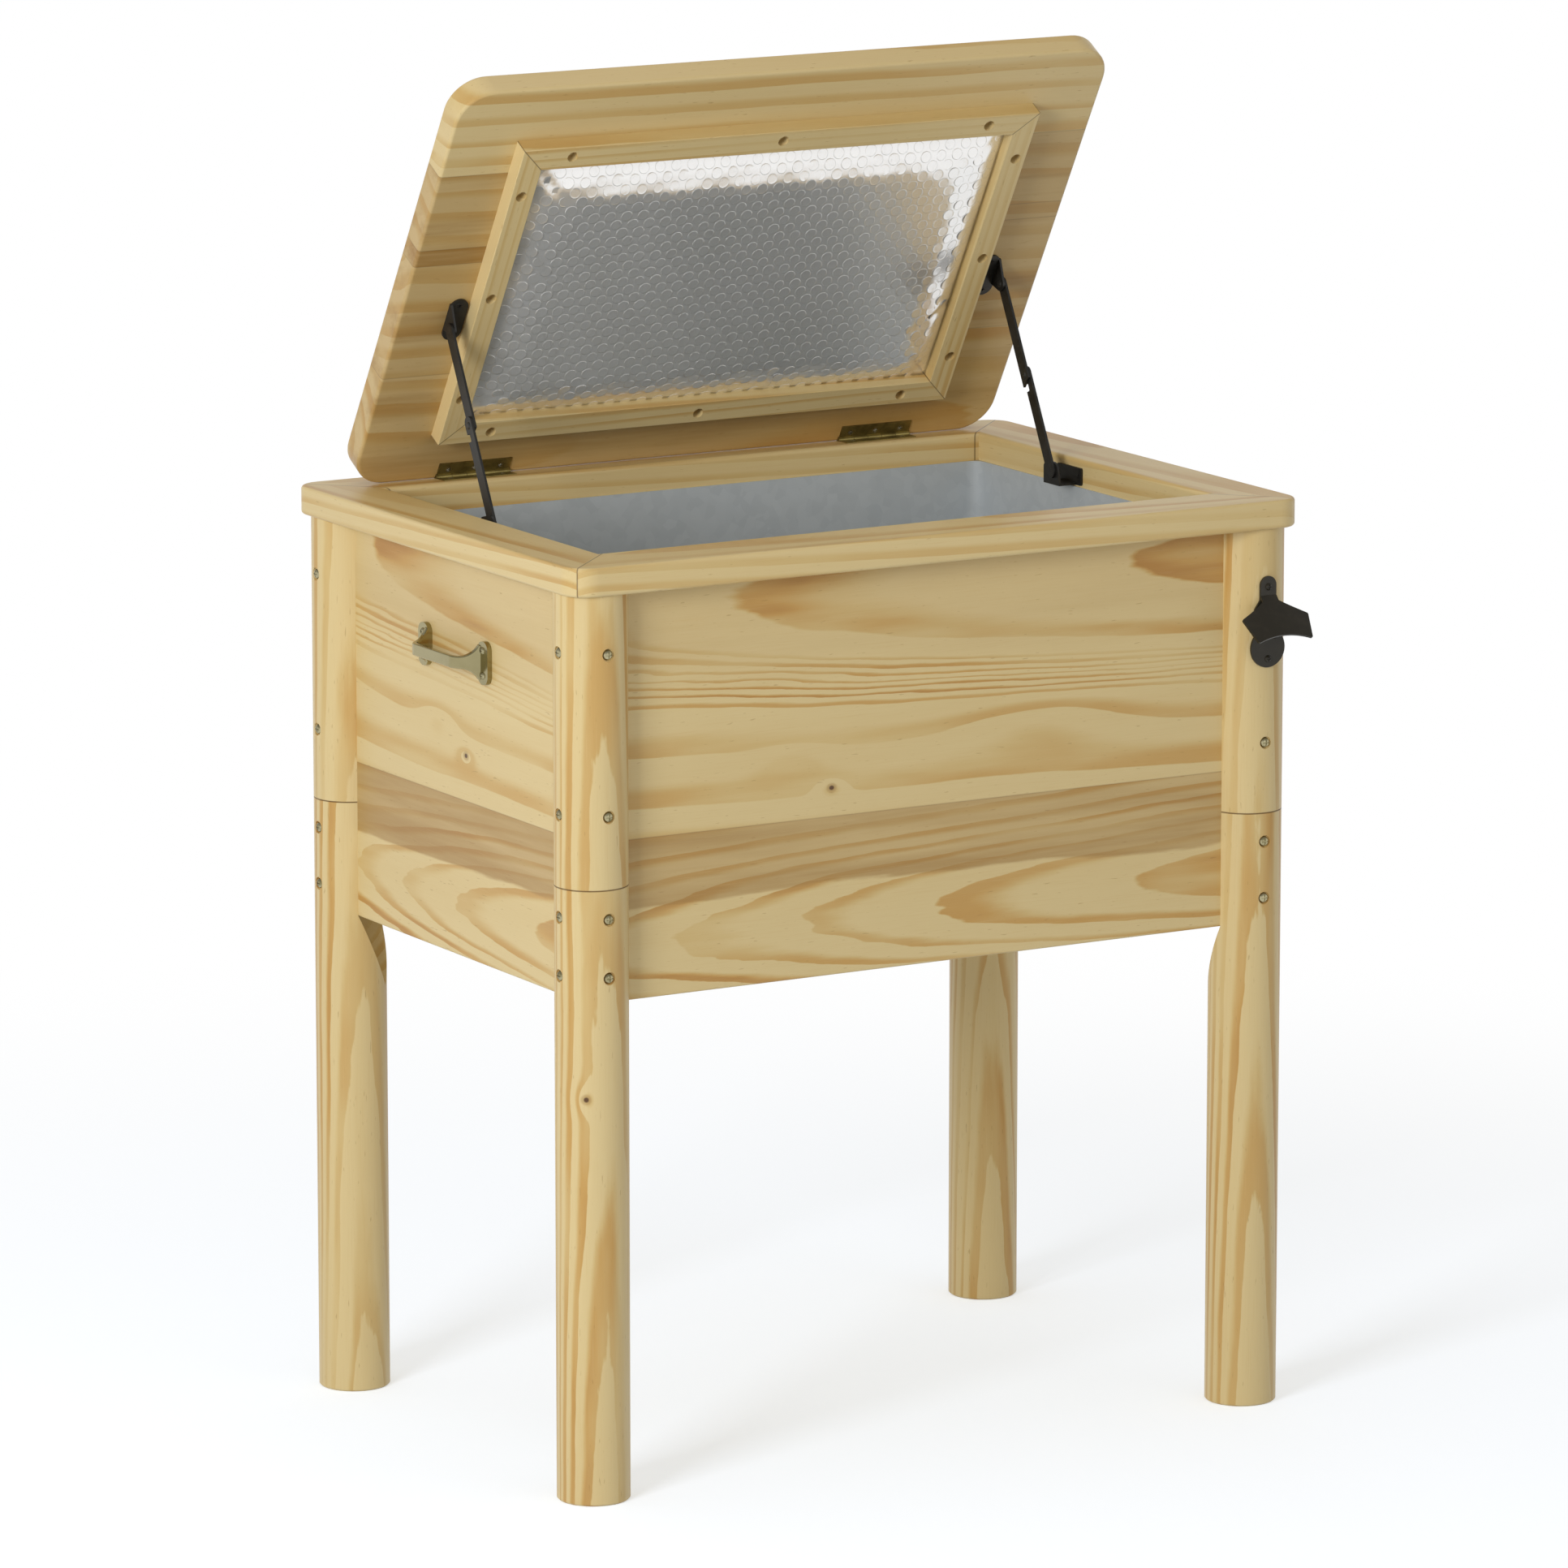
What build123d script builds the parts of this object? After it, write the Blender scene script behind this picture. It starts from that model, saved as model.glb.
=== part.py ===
from build123d import *
from math import cos, hypot, radians, sin
import os

# A wooden patio cooler on four round legs, with its lid propped open by two folding stays.
# Origin: on the floor, at the centre between the legs. X runs along the long front, Y to the back, Z up.

os.makedirs("parts", exist_ok=True)

# Clearances and overruns
cut_over = 5.0  # how far a cutter runs past the stock
snug_gap = 0.05  # radial room round a screw or rivet in its hole
pin_play = 0.05  # radial play of a part that turns on a pin
fit_gap = 0.3  # air round a piece that is let into another

# Round legs, each made of a lower leg and an upper post
leg_radius = 31.0
leg_x = 322.0
leg_y = 216.0
leg_seam_height = 525.5
leg_end_chamfer = 0.5
foot_chamfer = 1.5
runout_height = 86.0
runout_angle = 24.4

# Box of boards between the legs
leg_lap = 100.5  # how far each lower leg reaches up beside the box
panel_thickness = 15.0
panel_proud = 8.0
panel_arris = 1.0
bottom_thickness = 10.0
cleat_width = 18.0
cleat_height = 14.0

# Mitred rim on top of the box
rim_top = 797.3
rim_thickness = 24.6
rim_overhang_end = 3.7
rim_overhang_side = 4.6
rim_lap_end = 17.0
rim_lap_side = 20.2
rim_corner_radius = 23.0
rim_arris = 3.0
rim_inner_arris = 4.0
dowel_radius = 4.0
dowel_in_rim = 12.0
dowel_in_panel = 16.0
front_dowel_pitch = 220.0
end_dowel_pitch = 200.0

# Metal tub, its insulation and its drain
liner_wall = 1.6
liner_setback = 1.5
liner_corner_radius = 14.0
liner_floor_radius = 9.0
liner_flange = 12.0
floor_foam = 20.0
drain_x = 200.0
drain_y = 105.0
drain_radius = 9.0
drain_bore_radius = 6.0
drain_flange_radius = 15.0
drain_flange_thickness = 2.0
drain_below_box = 22.0
drain_nut_across = 28.0
drain_nut_height = 7.0
cap_wall = 2.4
cap_height = 13.0
cap_grip_radius = 1.4
cap_grip_count = 12

# Lid board and the framed pad under it
lid_open_angle = 59.8
lid_thickness = 24.1
lid_gap = 1.7
lid_margin_end = 36.5
lid_margin_front = 45.3
hinge_setback = 40.7
lid_rear_overhang = 2.3
lid_corner_radius = 32.0
lid_arris = 3.0
frame_gap_end = 43.5
frame_gap_front = 36.5
frame_gap_rear = 25.5
bar_width = 22.0
bar_thickness = 14.4
bar_arris = 0.8
bar_hole_radius = 5.0
bar_hole_depth = 8.0
bar_screw_bite = 11.0
bar_hole_inset = 10.0
bar_end_hole_inset = 49.0
pad_gap = 0.6
pad_edge_depth = 5.0
pad_depth = 14.0
pad_shoulder = 16.0
pad_shoulder_depth = 11.0
pad_crown_inset = 44.0

# Butt hinges of the lid
hinge_x = 201.8
hinge_length = 71.0
leaf_width = 14.6
leaf_thickness = 1.2
leaf_gap = 0.2
barrel_radius = 2.8
hinge_pin_radius = 1.4
hinge_pin_head = 0.8
knuckle_count = 5
knuckle_gap = 0.3
leaf_screw_inset = 7.6
leaf_screw_pitch = 25.5
leaf_screw_head_radius = 2.8

# Folding stays of the lid
stay_inset = 21.3
stay_lid_reach = 174.0
stay_rim_reach = 177.5
stay_drop = 12.0
link_width = 11.5
link_thickness = 2.2
link_gap = 0.2
upper_link_heel = 3.6
upper_link_tip = 9.2
lower_link_nose = 2.2
elbow_notch_start = 6.6
elbow_notch_end = 13.8
elbow_notch_depth = 4.6
elbow_notch_radius = 0.8
bracket_thickness = 2.0
bracket_length = 43.0
bracket_width = 18.0
bracket_pivot_offset = 1.5
ear_radius = 6.5
ear_base_length = 27.0
ear_base_shift = 5.0
bracket_screw_pitch = 31.0
rim_bracket_length = 40.0
rim_bracket_width = 15.5
rim_bracket_corner_radius = 2.0
rim_bracket_clearance = 1.8
rim_ear_radius = 8.5
rim_ear_length = 26.0
rim_ear_shift = 2.0
rim_ear_shoulder_radius = 2.5
rim_ear_shoulder_reach = 12.5
rim_ear_shoulder_rise = 3.2
rivet_radius = 2.0
rivet_head_radius = 3.3
rivet_head_height = 1.0

# Side handles
handle_y = 1.6
handle_drop = 86.7  # from the rim's underside to the handle's centre
handle_foot_pitch = 106.0
foot_plate_width = 17.5
foot_plate_height = 37.0
foot_plate_thickness = 4.4
foot_plate_corner_radius = 8.0
foot_screw_pitch = 21.5
foot_screw_clearance = 3.6
grip_projection = 24.8
grip_thickness = 5.0
grip_height = 10.5
grip_corner_radius = 11.0
grip_leg_inset = 5.0  # from a foot's centre to the leg's root
grip_splay = 10.4
grip_flare_out = 20.5
grip_flare_radius = 17.0
grip_flare_angle = 65.0
grip_edge_radius = 1.4

# Bottle opener on the front right leg; it hangs below the rim
opener_rim_gap = 40.4
opener_height = 79.3
opener_bend_drop = 16.3
opener_neck_drop = 20.3
opener_shoulder_drop = 28.3
opener_sheet = 2.0
opener_tab_width = 16.0
opener_tongue_width = 34.0
opener_arm_width = 27.0
opener_arm_rise = 8.0
opener_window_width = 19.0
opener_window_drop = 32.3
opener_window_rise = 24.5
opener_window_radius = 3.0
opener_screw_drop = 9.3
opener_screw_rise = 7.5
hood_angle = 42.0
hood_length = 45.2
hood_wing_reach = 20.0
hood_shoulder_half_width = 21.0
hood_shoulder_reach = 14.0
hood_wing_half_width = 33.3
hood_lip_half_width = 27.2
hood_neck_reach = 6.0
hood_curve_radius = 190.0
hood_lip_arch = 4.6
hood_corner_radius = 1.6

# Screws: head radius, head height, shank radius and length
leg_screw_head_radius = 4.7
leg_screw_head_height = 2.6
leg_screw_shank_radius = 2.2
leg_screw_bite = 5.3
leg_screw_bore_radius = 5.5
leg_screw_bore_depth = 2.0
post_screw_drop = 49.7  # from the rim's underside
post_screw_rise = 61.5  # from the seam
leg_screw_drop = 25.0  # from the seam
leg_screw_rise = 26.0  # from the box's underside
wood_screw_head_radius = 3.2
wood_screw_shank_radius = 1.6
wood_screw_length = 15.0
pan_head_height = 2.0
cross_arm_width = 0.9
cross_arm_share = 0.62
cross_depth = 1.0

# Positions that follow from those sizes
panel_x = leg_x + panel_proud
panel_y = leg_y + panel_proud
panel_inner_x = panel_x - panel_thickness
panel_inner_y = panel_y - panel_thickness
rim_bottom = rim_top - rim_thickness
box_bottom = leg_seam_height - leg_lap
post_screw_heights = (rim_bottom - post_screw_drop, leg_seam_height + post_screw_rise)
leg_screw_heights = (leg_seam_height - leg_screw_drop, box_bottom + leg_screw_rise)
handle_z = rim_bottom - handle_drop
opener_top = rim_bottom - opener_rim_gap
opener_bottom = opener_top - opener_height
opener_bend = opener_top - opener_bend_drop
opener_neck = opener_top - opener_neck_drop
opener_shoulder = opener_top - opener_shoulder_drop
opener_window_high = opener_top - opener_window_drop
opener_window_low = opener_bottom + opener_window_rise
opener_screw_top = opener_top - opener_screw_drop
opener_screw_low = opener_bottom + opener_screw_rise
rim_x = leg_x + leg_radius + rim_overhang_end
rim_y = leg_y + leg_radius + rim_overhang_side
opening_x = panel_inner_x - rim_lap_end
opening_y = panel_inner_y - rim_lap_side
floor_board_top = box_bottom + bottom_thickness
liner_x = opening_x - liner_setback + liner_wall
liner_y = opening_y - liner_setback + liner_wall
liner_bottom = floor_board_top + floor_foam
hinge_y = rim_y - hinge_setback
hinge_z = rim_top + lid_gap / 2
lid_x = rim_x - lid_margin_end
lid_front_reach = hinge_y + rim_y - lid_margin_front
lid_depth = lid_front_reach + lid_rear_overhang
frame_x = opening_x - frame_gap_end
frame_rear_reach = hinge_y - opening_y + frame_gap_rear
frame_front_reach = hinge_y + opening_y - frame_gap_front
lid_sin = sin(radians(lid_open_angle))
lid_cos = cos(radians(lid_open_angle))
lid_up = Axis((0, hinge_y, hinge_z), (0, lid_sin, lid_cos))

corners = {"front_left": (-1, -1), "front_right": (1, -1), "back_left": (-1, 1), "back_right": (1, 1)}
sides = {"left": -1, "right": 1}


def write(piece, name):
    """Labels a finished piece and writes its STEP file."""
    piece.part.label = name
    export_step(piece.part, f"parts/{name}.step")


def lid_plane(height):
    """A plane parallel to the lid's underside, at a height over the hinge axis; local Y runs to the rear."""
    return Plane(origin=(0, hinge_y, hinge_z), x_dir=(1, 0, 0), z_dir=(0, lid_sin, lid_cos)).offset(height)


def side_plane(x):
    """A plane across X, with local X along the row's Y and local Y up."""
    return Plane(origin=(x, 0, 0), x_dir=(0, 1, 0), z_dir=(1, 0, 0))


def lid_side_plane(x):
    """A plane across X that turns with the lid: local X runs to its free edge, local Y down from it."""
    return Plane(origin=(x, hinge_y, hinge_z), x_dir=(0, -lid_cos, lid_sin), z_dir=(1, 0, 0))


def lid_under(height):
    """A plane parallel to the lid's underside that faces down from it; local Y runs to the free edge."""
    return Plane(origin=lid_point(0, 0, height), x_dir=(1, 0, 0), z_dir=(0, -lid_sin, -lid_cos))


def placed(plane, x, y):
    """The same plane with its origin moved to a local place."""
    return Plane(origin=plane.from_local_coords((x, y, 0)), x_dir=plane.x_dir, z_dir=plane.z_dir)


def low_x(side, inner, outer):
    """The lower X of a layer that lies between two distances from the middle, on one side."""
    return inner if side > 0 else -outer


def lid_point(x, reach, height):
    """A point of the lid: reach from the hinge axis to the free edge, height above the axis."""
    return (x, hinge_y - lid_cos * reach + lid_sin * height, hinge_z + lid_sin * reach + lid_cos * height)


def make_screw(head_radius, head_height, shank_radius, length, countersunk):
    """A cross-head screw along Z: the face that it seats on, or its flush top, is at zero."""
    with BuildPart() as screw:
        with BuildSketch(Plane.XZ):
            with BuildLine():
                if countersunk:
                    Polyline((0, 0), (head_radius, 0), (shank_radius, shank_radius - head_radius))
                    Line((shank_radius, shank_radius - head_radius), (shank_radius, -length))
                else:
                    ThreePointArc(
                        (0, head_height),
                        (head_radius * sin(radians(50)), head_height * cos(radians(50))),
                        (head_radius, 0),
                    )
                    Polyline((head_radius, 0), (shank_radius, 0), (shank_radius, -length))
                Polyline((shank_radius, -length), (0, -length), (0, 0 if countersunk else head_height))
            make_face()
        revolve(axis=Axis.Z)
        top = 0 if countersunk else head_height
        with BuildSketch(Plane.XY.offset(top - cross_depth)):
            Rectangle(2 * cross_arm_share * head_radius, cross_arm_width)
            Rectangle(cross_arm_width, 2 * cross_arm_share * head_radius)
        extrude(amount=cross_depth + cut_over, mode=Mode.SUBTRACT)
    return screw.part


def bore(plane, x, y, radius, depth):
    """Cuts a round hole into the open part, downwards from a plane."""
    with BuildSketch(plane) as mouth:
        with Locations((x, y)):
            Circle(radius)
    extrude(mouth.sketch, amount=-depth, mode=Mode.SUBTRACT)


leg_screw_length = leg_radius - leg_screw_bore_depth - panel_proud + leg_screw_bite
leg_screw = make_screw(
    leg_screw_head_radius, leg_screw_head_height, leg_screw_shank_radius, leg_screw_length, False
)
pan_screw = make_screw(
    wood_screw_head_radius, pan_head_height, wood_screw_shank_radius, wood_screw_length, False
)
flush_screw = make_screw(wood_screw_head_radius, 0, wood_screw_shank_radius, wood_screw_length, True)
wood_hole_radius = wood_screw_shank_radius + snug_gap
flush_sink_radius = wood_screw_head_radius + snug_gap


def screw_group(name, screw, planes):
    """Writes one node that holds a copy of a screw at every plane."""
    with BuildPart() as group:
        for plane in planes:
            with Locations(plane.location):
                add(screw)
    write(group, name)


# Legs: round stock, notched over the corner of the box, with the notch run out below it
def front_screw_plane(sx, sy, height):
    """Where a screw through a leg into a long panel seats, facing outwards."""
    seat = leg_y + leg_radius - leg_screw_bore_depth
    return Plane(origin=(sx * leg_x, sy * seat, height), x_dir=(1, 0, 0), z_dir=(0, sy, 0))


def end_screw_plane(sx, sy, height):
    """Where a screw through a leg into an end of a long panel seats, facing outwards."""
    seat = leg_x + leg_radius - leg_screw_bore_depth
    return Plane(origin=(sx * seat, sy * leg_y, height), x_dir=(0, 1, 0), z_dir=(sx, 0, 0))


notch_side = 3 * leg_radius
leg_screw_planes = []
leg_screw_hole_radius = leg_screw_shank_radius + snug_gap
opener_corner = (1, -1)


def leg_screw_places(sx, sy, heights):
    """Screw seats on one leg piece; the opener takes the highest place on the front of its leg."""
    places = [end_screw_plane(sx, sy, height) for height in heights]
    for height in heights:
        if (sx, sy) != opener_corner or height != max(post_screw_heights):
            places.append(front_screw_plane(sx, sy, height))
    return places


for corner, (sx, sy) in corners.items():
    for piece, low, high, heights in (
        ("lower_leg", 0, leg_seam_height, leg_screw_heights),
        ("upper_post", leg_seam_height, rim_bottom, post_screw_heights),
    ):
        seats = leg_screw_places(sx, sy, heights)
        leg_screw_planes += seats
        with BuildPart() as leg:
            with BuildSketch(Plane.XY.offset(low)):
                with Locations((sx * leg_x, sy * leg_y)):
                    Circle(leg_radius)
            extrude(amount=high - low)
            ends = leg.edges().filter_by(GeomType.CIRCLE).sort_by(Axis.Z)
            chamfer(ends[0], foot_chamfer if low == 0 else leg_end_chamfer)
            if low == 0:
                chamfer(leg.edges().filter_by(GeomType.CIRCLE).sort_by(Axis.Z)[-1], leg_end_chamfer)
            notch_centre = (sx * (panel_x - notch_side / 2), sy * (panel_y - notch_side / 2))
            with BuildSketch(Plane.XY.offset(max(low, box_bottom))):
                with Locations(notch_centre):
                    Rectangle(notch_side, notch_side)
            extrude(amount=high - max(low, box_bottom), mode=Mode.SUBTRACT)
            if low == 0:
                with BuildSketch(Plane.XY.offset(box_bottom)):
                    with Locations(notch_centre):
                        Rectangle(notch_side, notch_side)
                extrude(amount=-runout_height, taper=runout_angle, mode=Mode.SUBTRACT)
            for seat in seats:
                bore(seat.offset(leg_screw_bore_depth), 0, 0, leg_screw_bore_radius, leg_screw_bore_depth)
                bore(seat, 0, 0, leg_screw_hole_radius, leg_radius)
            if (sx, sy) == opener_corner and piece == "upper_post":
                face = Plane(origin=(leg_x, -leg_y - leg_radius, 0), x_dir=(1, 0, 0), z_dir=(0, -1, 0))
                for height in (opener_screw_top, opener_screw_low):
                    bore(face, 0, height, wood_hole_radius, wood_screw_length + snug_gap)
        write(leg, f"{piece}_{corner}")

screw_group("leg_screws", leg_screw, leg_screw_planes)

# Box: long panels at the front and back, end panels between them, a floor on cleats
long_dowels = (-front_dowel_pitch, 0, front_dowel_pitch)
end_dowels = (-end_dowel_pitch / 2, end_dowel_pitch / 2)
panel_mid_x = panel_x - panel_thickness / 2
panel_mid_y = panel_y - panel_thickness / 2
handle_screw_depth = wood_screw_length - foot_plate_thickness + snug_gap
handle_screw_places = [
    (handle_y + foot * handle_foot_pitch / 2, handle_z + row * foot_screw_pitch / 2)
    for foot in (-1, 1)
    for row in (-1, 1)
]


def handle_plane(side, out):
    """A plane on the outer face of an end panel, or off it; local X is Y, local Y is up or down."""
    return Plane(origin=(side * (panel_x + out), 0, 0), x_dir=(0, 1, 0), z_dir=(side, 0, 0))


for name, sy in (("front_panel", -1), ("back_panel", 1)):
    with BuildPart() as panel:
        with BuildSketch(Plane.XY.offset(box_bottom)):
            with Locations((0, sy * panel_mid_y)):
                Rectangle(2 * panel_x, panel_thickness)
        extrude(amount=rim_bottom - box_bottom)
        lower_edges = panel.faces().sort_by(Axis.Z)[0].edges().filter_by(Axis.X)
        chamfer(lower_edges.sort_by(Axis.Y)[0 if sy < 0 else -1], panel_arris)
        for x in long_dowels:
            bore(Plane.XY.offset(rim_bottom), x, sy * panel_mid_y, dowel_radius + snug_gap, dowel_in_panel)
        for sx in (-1, 1):
            for height in post_screw_heights + leg_screw_heights:
                bore(end_screw_plane(sx, sy, height), 0, 0, leg_screw_hole_radius, leg_screw_length)
                if (sx, sy) != opener_corner or height != max(post_screw_heights):
                    bore(front_screw_plane(sx, sy, height), 0, 0, leg_screw_hole_radius, leg_screw_length)
    write(panel, name)

for side_name, side in sides.items():
    with BuildPart() as panel:
        with BuildSketch(Plane.XY.offset(box_bottom)):
            with Locations((side * panel_mid_x, 0)):
                Rectangle(panel_thickness, 2 * panel_inner_y)
        extrude(amount=rim_bottom - box_bottom)
        lower_edges = panel.faces().sort_by(Axis.Z)[0].edges().filter_by(Axis.Y)
        chamfer(lower_edges.sort_by(Axis.X)[0 if side < 0 else -1], panel_arris)
        for y in end_dowels:
            bore(Plane.XY.offset(rim_bottom), side * panel_mid_x, y, dowel_radius + snug_gap, dowel_in_panel)
        for y, z in handle_screw_places:
            bore(handle_plane(side, 0), y, side * z, wood_hole_radius, handle_screw_depth)
    write(panel, f"{side_name}_panel")

with BuildPart() as floor_board:
    with BuildSketch(Plane.XY.offset(box_bottom)):
        Rectangle(2 * panel_inner_x, 2 * panel_inner_y)
        with Locations((drain_x, drain_y)):
            Circle(drain_radius + snug_gap, mode=Mode.SUBTRACT)
    extrude(amount=bottom_thickness)
write(floor_board, "floor_board")

with BuildPart() as floor_cleats:
    for side in (-1, 1):
        with BuildSketch(Plane.XY.offset(floor_board_top)):
            with Locations((0, side * (panel_inner_y - cleat_width / 2))):
                Rectangle(2 * (panel_inner_x - cleat_width - fit_gap), cleat_width)
        extrude(amount=cleat_height)
        with BuildSketch(Plane.XY.offset(floor_board_top)):
            with Locations((side * (panel_inner_x - cleat_width / 2), 0)):
                Rectangle(cleat_width, 2 * panel_inner_y)
        extrude(amount=cleat_height)
write(floor_cleats, "floor_cleats")

# Rim: one rounded ring, cut into four boards along its mitres
with BuildPart() as ring:
    with BuildSketch(Plane.XY.offset(rim_bottom)):
        RectangleRounded(2 * rim_x, 2 * rim_y, rim_corner_radius)
        Rectangle(2 * opening_x, 2 * opening_y, mode=Mode.SUBTRACT)
    extrude(amount=rim_thickness)
    top_face = ring.faces().sort_by(Axis.Z)[-1]
    bottom_face = ring.faces().sort_by(Axis.Z)[0]
    fillet(top_face.outer_wire().edges() + bottom_face.outer_wire().edges(), rim_arris)

trough_radius = barrel_radius + fit_gap
leaf_low = -leaf_gap / 2 - leaf_thickness
knuckle_length = hinge_length / knuckle_count
leaf_screw_xs = (-leaf_screw_pitch, 0, leaf_screw_pitch)
stay_face = opening_x - stay_inset
lower_layer = (stay_face + link_gap / 2, stay_face + link_gap / 2 + link_thickness)
upper_layer = (stay_face - link_gap / 2 - link_thickness, stay_face - link_gap / 2)
rim_ear_layer = (lower_layer[1] + link_gap, lower_layer[1] + link_gap + bracket_thickness)
lid_ear_layer = (upper_layer[0] - link_gap - bracket_thickness, upper_layer[0] - link_gap)
rim_pivot = (hinge_y - stay_rim_reach, hinge_z - stay_drop)
lid_pivot = lid_point(0, stay_lid_reach, -stay_drop)[1:]
rim_bracket_low = rim_bottom + rim_bracket_clearance
rim_bracket_screw_z = rim_bracket_low + rim_bracket_width / 2
rim_bracket_screw_ys = (rim_pivot[0] - bracket_screw_pitch / 2, rim_pivot[0] + bracket_screw_pitch / 2)

dowel_plane = Plane.XY.offset(rim_bottom + dowel_in_rim)
rim_boards = {
    "rim_front": ((-1, -1), (1, -1)),
    "rim_right": ((1, -1), (1, 1)),
    "rim_back": ((1, 1), (-1, 1)),
    "rim_left": ((-1, 1), (-1, -1)),
}
for name, (start, end) in rim_boards.items():
    outline = (
        (start[0] * opening_x, start[1] * opening_y),
        (start[0] * rim_x, start[1] * rim_y),
        (end[0] * rim_x, end[1] * rim_y),
        (end[0] * opening_x, end[1] * opening_y),
    )
    with BuildPart() as board:
        add(ring.part)
        with BuildSketch(Plane.XY.offset(rim_bottom)):
            Polygon(*outline, align=None)
        extrude(amount=rim_thickness, mode=Mode.INTERSECT)
        run = Axis.X if start[1] == end[1] else Axis.Y
        long_edges = board.faces().sort_by(Axis.Z)[-1].edges().filter_by(run)
        fillet(long_edges.sort_by(SortBy.LENGTH)[0], rim_inner_arris)
        if start[1] == end[1]:
            for x in long_dowels:
                place = (x, start[1] * panel_mid_y)
                bore(dowel_plane, *place, dowel_radius + snug_gap, dowel_in_rim)
        else:
            for y in end_dowels:
                place = (start[0] * panel_mid_x, y)
                bore(dowel_plane, *place, dowel_radius + snug_gap, dowel_in_rim)
            side = start[0]
            face = Plane(origin=(side * opening_x, 0, 0), x_dir=(0, 1, 0), z_dir=(-side, 0, 0))
            for y in rim_bracket_screw_ys:
                bore(face, y, -side * rim_bracket_screw_z, wood_hole_radius, wood_screw_length)
        if name == "rim_back":
            for side in (-1, 1):
                start_x = side * hinge_x - hinge_length / 2 - fit_gap
                with BuildSketch(Plane.XY.offset(hinge_z + leaf_low)):
                    with Locations((side * hinge_x, hinge_y - leaf_width / 2)):
                        Rectangle(hinge_length + 2 * fit_gap, leaf_width + 2 * fit_gap)
                extrude(amount=rim_thickness, mode=Mode.SUBTRACT)
                with BuildSketch(side_plane(start_x - hinge_pin_head)):
                    with Locations((hinge_y, hinge_z)):
                        Circle(trough_radius)
                extrude(amount=hinge_length + 2 * (fit_gap + hinge_pin_head), mode=Mode.SUBTRACT)
                for x in leaf_screw_xs:
                    place = (side * hinge_x + x, hinge_y - leaf_screw_inset)
                    bore(Plane.XY.offset(rim_top), *place, wood_hole_radius, wood_screw_length)
    write(board, name)

with BuildPart() as rim_dowels:
    with BuildSketch(Plane.XY.offset(rim_bottom - dowel_in_panel)):
        with Locations(*[(x, sy * panel_mid_y) for x in long_dowels for sy in (-1, 1)]):
            Circle(dowel_radius)
        with Locations(*[(sx * panel_mid_x, y) for y in end_dowels for sx in (-1, 1)]):
            Circle(dowel_radius)
    extrude(amount=dowel_in_panel + dowel_in_rim)
write(rim_dowels, "rim_dowels")

# Metal tub with a folded flange, the insulation round it, and the drain
with BuildPart() as tub_hollow:
    with BuildSketch(Plane.XY.offset(liner_bottom + liner_wall)):
        RectangleRounded(
            2 * (liner_x - liner_wall), 2 * (liner_y - liner_wall), liner_corner_radius - liner_wall
        )
    extrude(amount=rim_bottom - liner_bottom - liner_wall)
    fillet(tub_hollow.faces().sort_by(Axis.Z)[0].edges(), liner_floor_radius - liner_wall)

with BuildPart() as liner_tub:
    with BuildSketch(Plane.XY.offset(liner_bottom)):
        RectangleRounded(2 * liner_x, 2 * liner_y, liner_corner_radius)
    extrude(amount=rim_bottom - liner_bottom)
    fillet(liner_tub.faces().sort_by(Axis.Z)[0].edges(), liner_floor_radius)
    with BuildSketch(Plane.XY.offset(rim_bottom - liner_wall)):
        RectangleRounded(2 * (liner_x + liner_flange), 2 * (liner_y + liner_flange), liner_corner_radius)
    extrude(amount=liner_wall)
    add(tub_hollow.part, mode=Mode.SUBTRACT)
    bore(Plane.XY.offset(liner_bottom + liner_wall), drain_x, drain_y, drain_radius + snug_gap, liner_wall)
write(liner_tub, "liner_tub")

with BuildPart() as foam_jacket:
    with BuildSketch(Plane.XY.offset(floor_board_top)):
        Rectangle(2 * panel_inner_x, 2 * panel_inner_y)
    extrude(amount=rim_bottom - liner_wall - floor_board_top)
    with BuildSketch(Plane.XY.offset(liner_bottom)):
        RectangleRounded(
            2 * (liner_x + fit_gap), 2 * (liner_y + fit_gap), liner_corner_radius + fit_gap
        )
    extrude(amount=rim_bottom - liner_bottom, mode=Mode.SUBTRACT)
    with BuildSketch(Plane.XY.offset(floor_board_top)):
        Rectangle(2 * panel_inner_x, 2 * panel_inner_y)
        Rectangle(2 * (panel_inner_x - cleat_width), 2 * (panel_inner_y - cleat_width), mode=Mode.SUBTRACT)
    extrude(amount=cleat_height, mode=Mode.SUBTRACT)
    bore(Plane.XY.offset(liner_bottom), drain_x, drain_y, drain_radius + snug_gap, floor_foam)
write(foam_jacket, "foam_jacket")

drain_low = box_bottom - drain_below_box
with BuildPart() as drain_spout:
    with BuildSketch(Plane.XY.offset(drain_low)):
        with Locations((drain_x, drain_y)):
            Circle(drain_radius)
    extrude(amount=liner_bottom + liner_wall - drain_low)
    with BuildSketch(Plane.XY.offset(liner_bottom + liner_wall)):
        with Locations((drain_x, drain_y)):
            Circle(drain_flange_radius)
    extrude(amount=drain_flange_thickness)
    fillet(drain_spout.edges().filter_by(GeomType.CIRCLE).sort_by(Axis.Z)[-1], drain_flange_thickness / 2)
    top = liner_bottom + liner_wall + drain_flange_thickness
    bore(Plane.XY.offset(top), drain_x, drain_y, drain_bore_radius, top - drain_low)
write(drain_spout, "drain_spout")

with BuildPart() as drain_nut:
    with BuildSketch(Plane.XY.offset(box_bottom - drain_nut_height)):
        with Locations((drain_x, drain_y)):
            RegularPolygon(drain_nut_across / 2, 6, major_radius=False)
            Circle(drain_radius + snug_gap, mode=Mode.SUBTRACT)
    extrude(amount=drain_nut_height)
write(drain_nut, "drain_nut")

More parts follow.
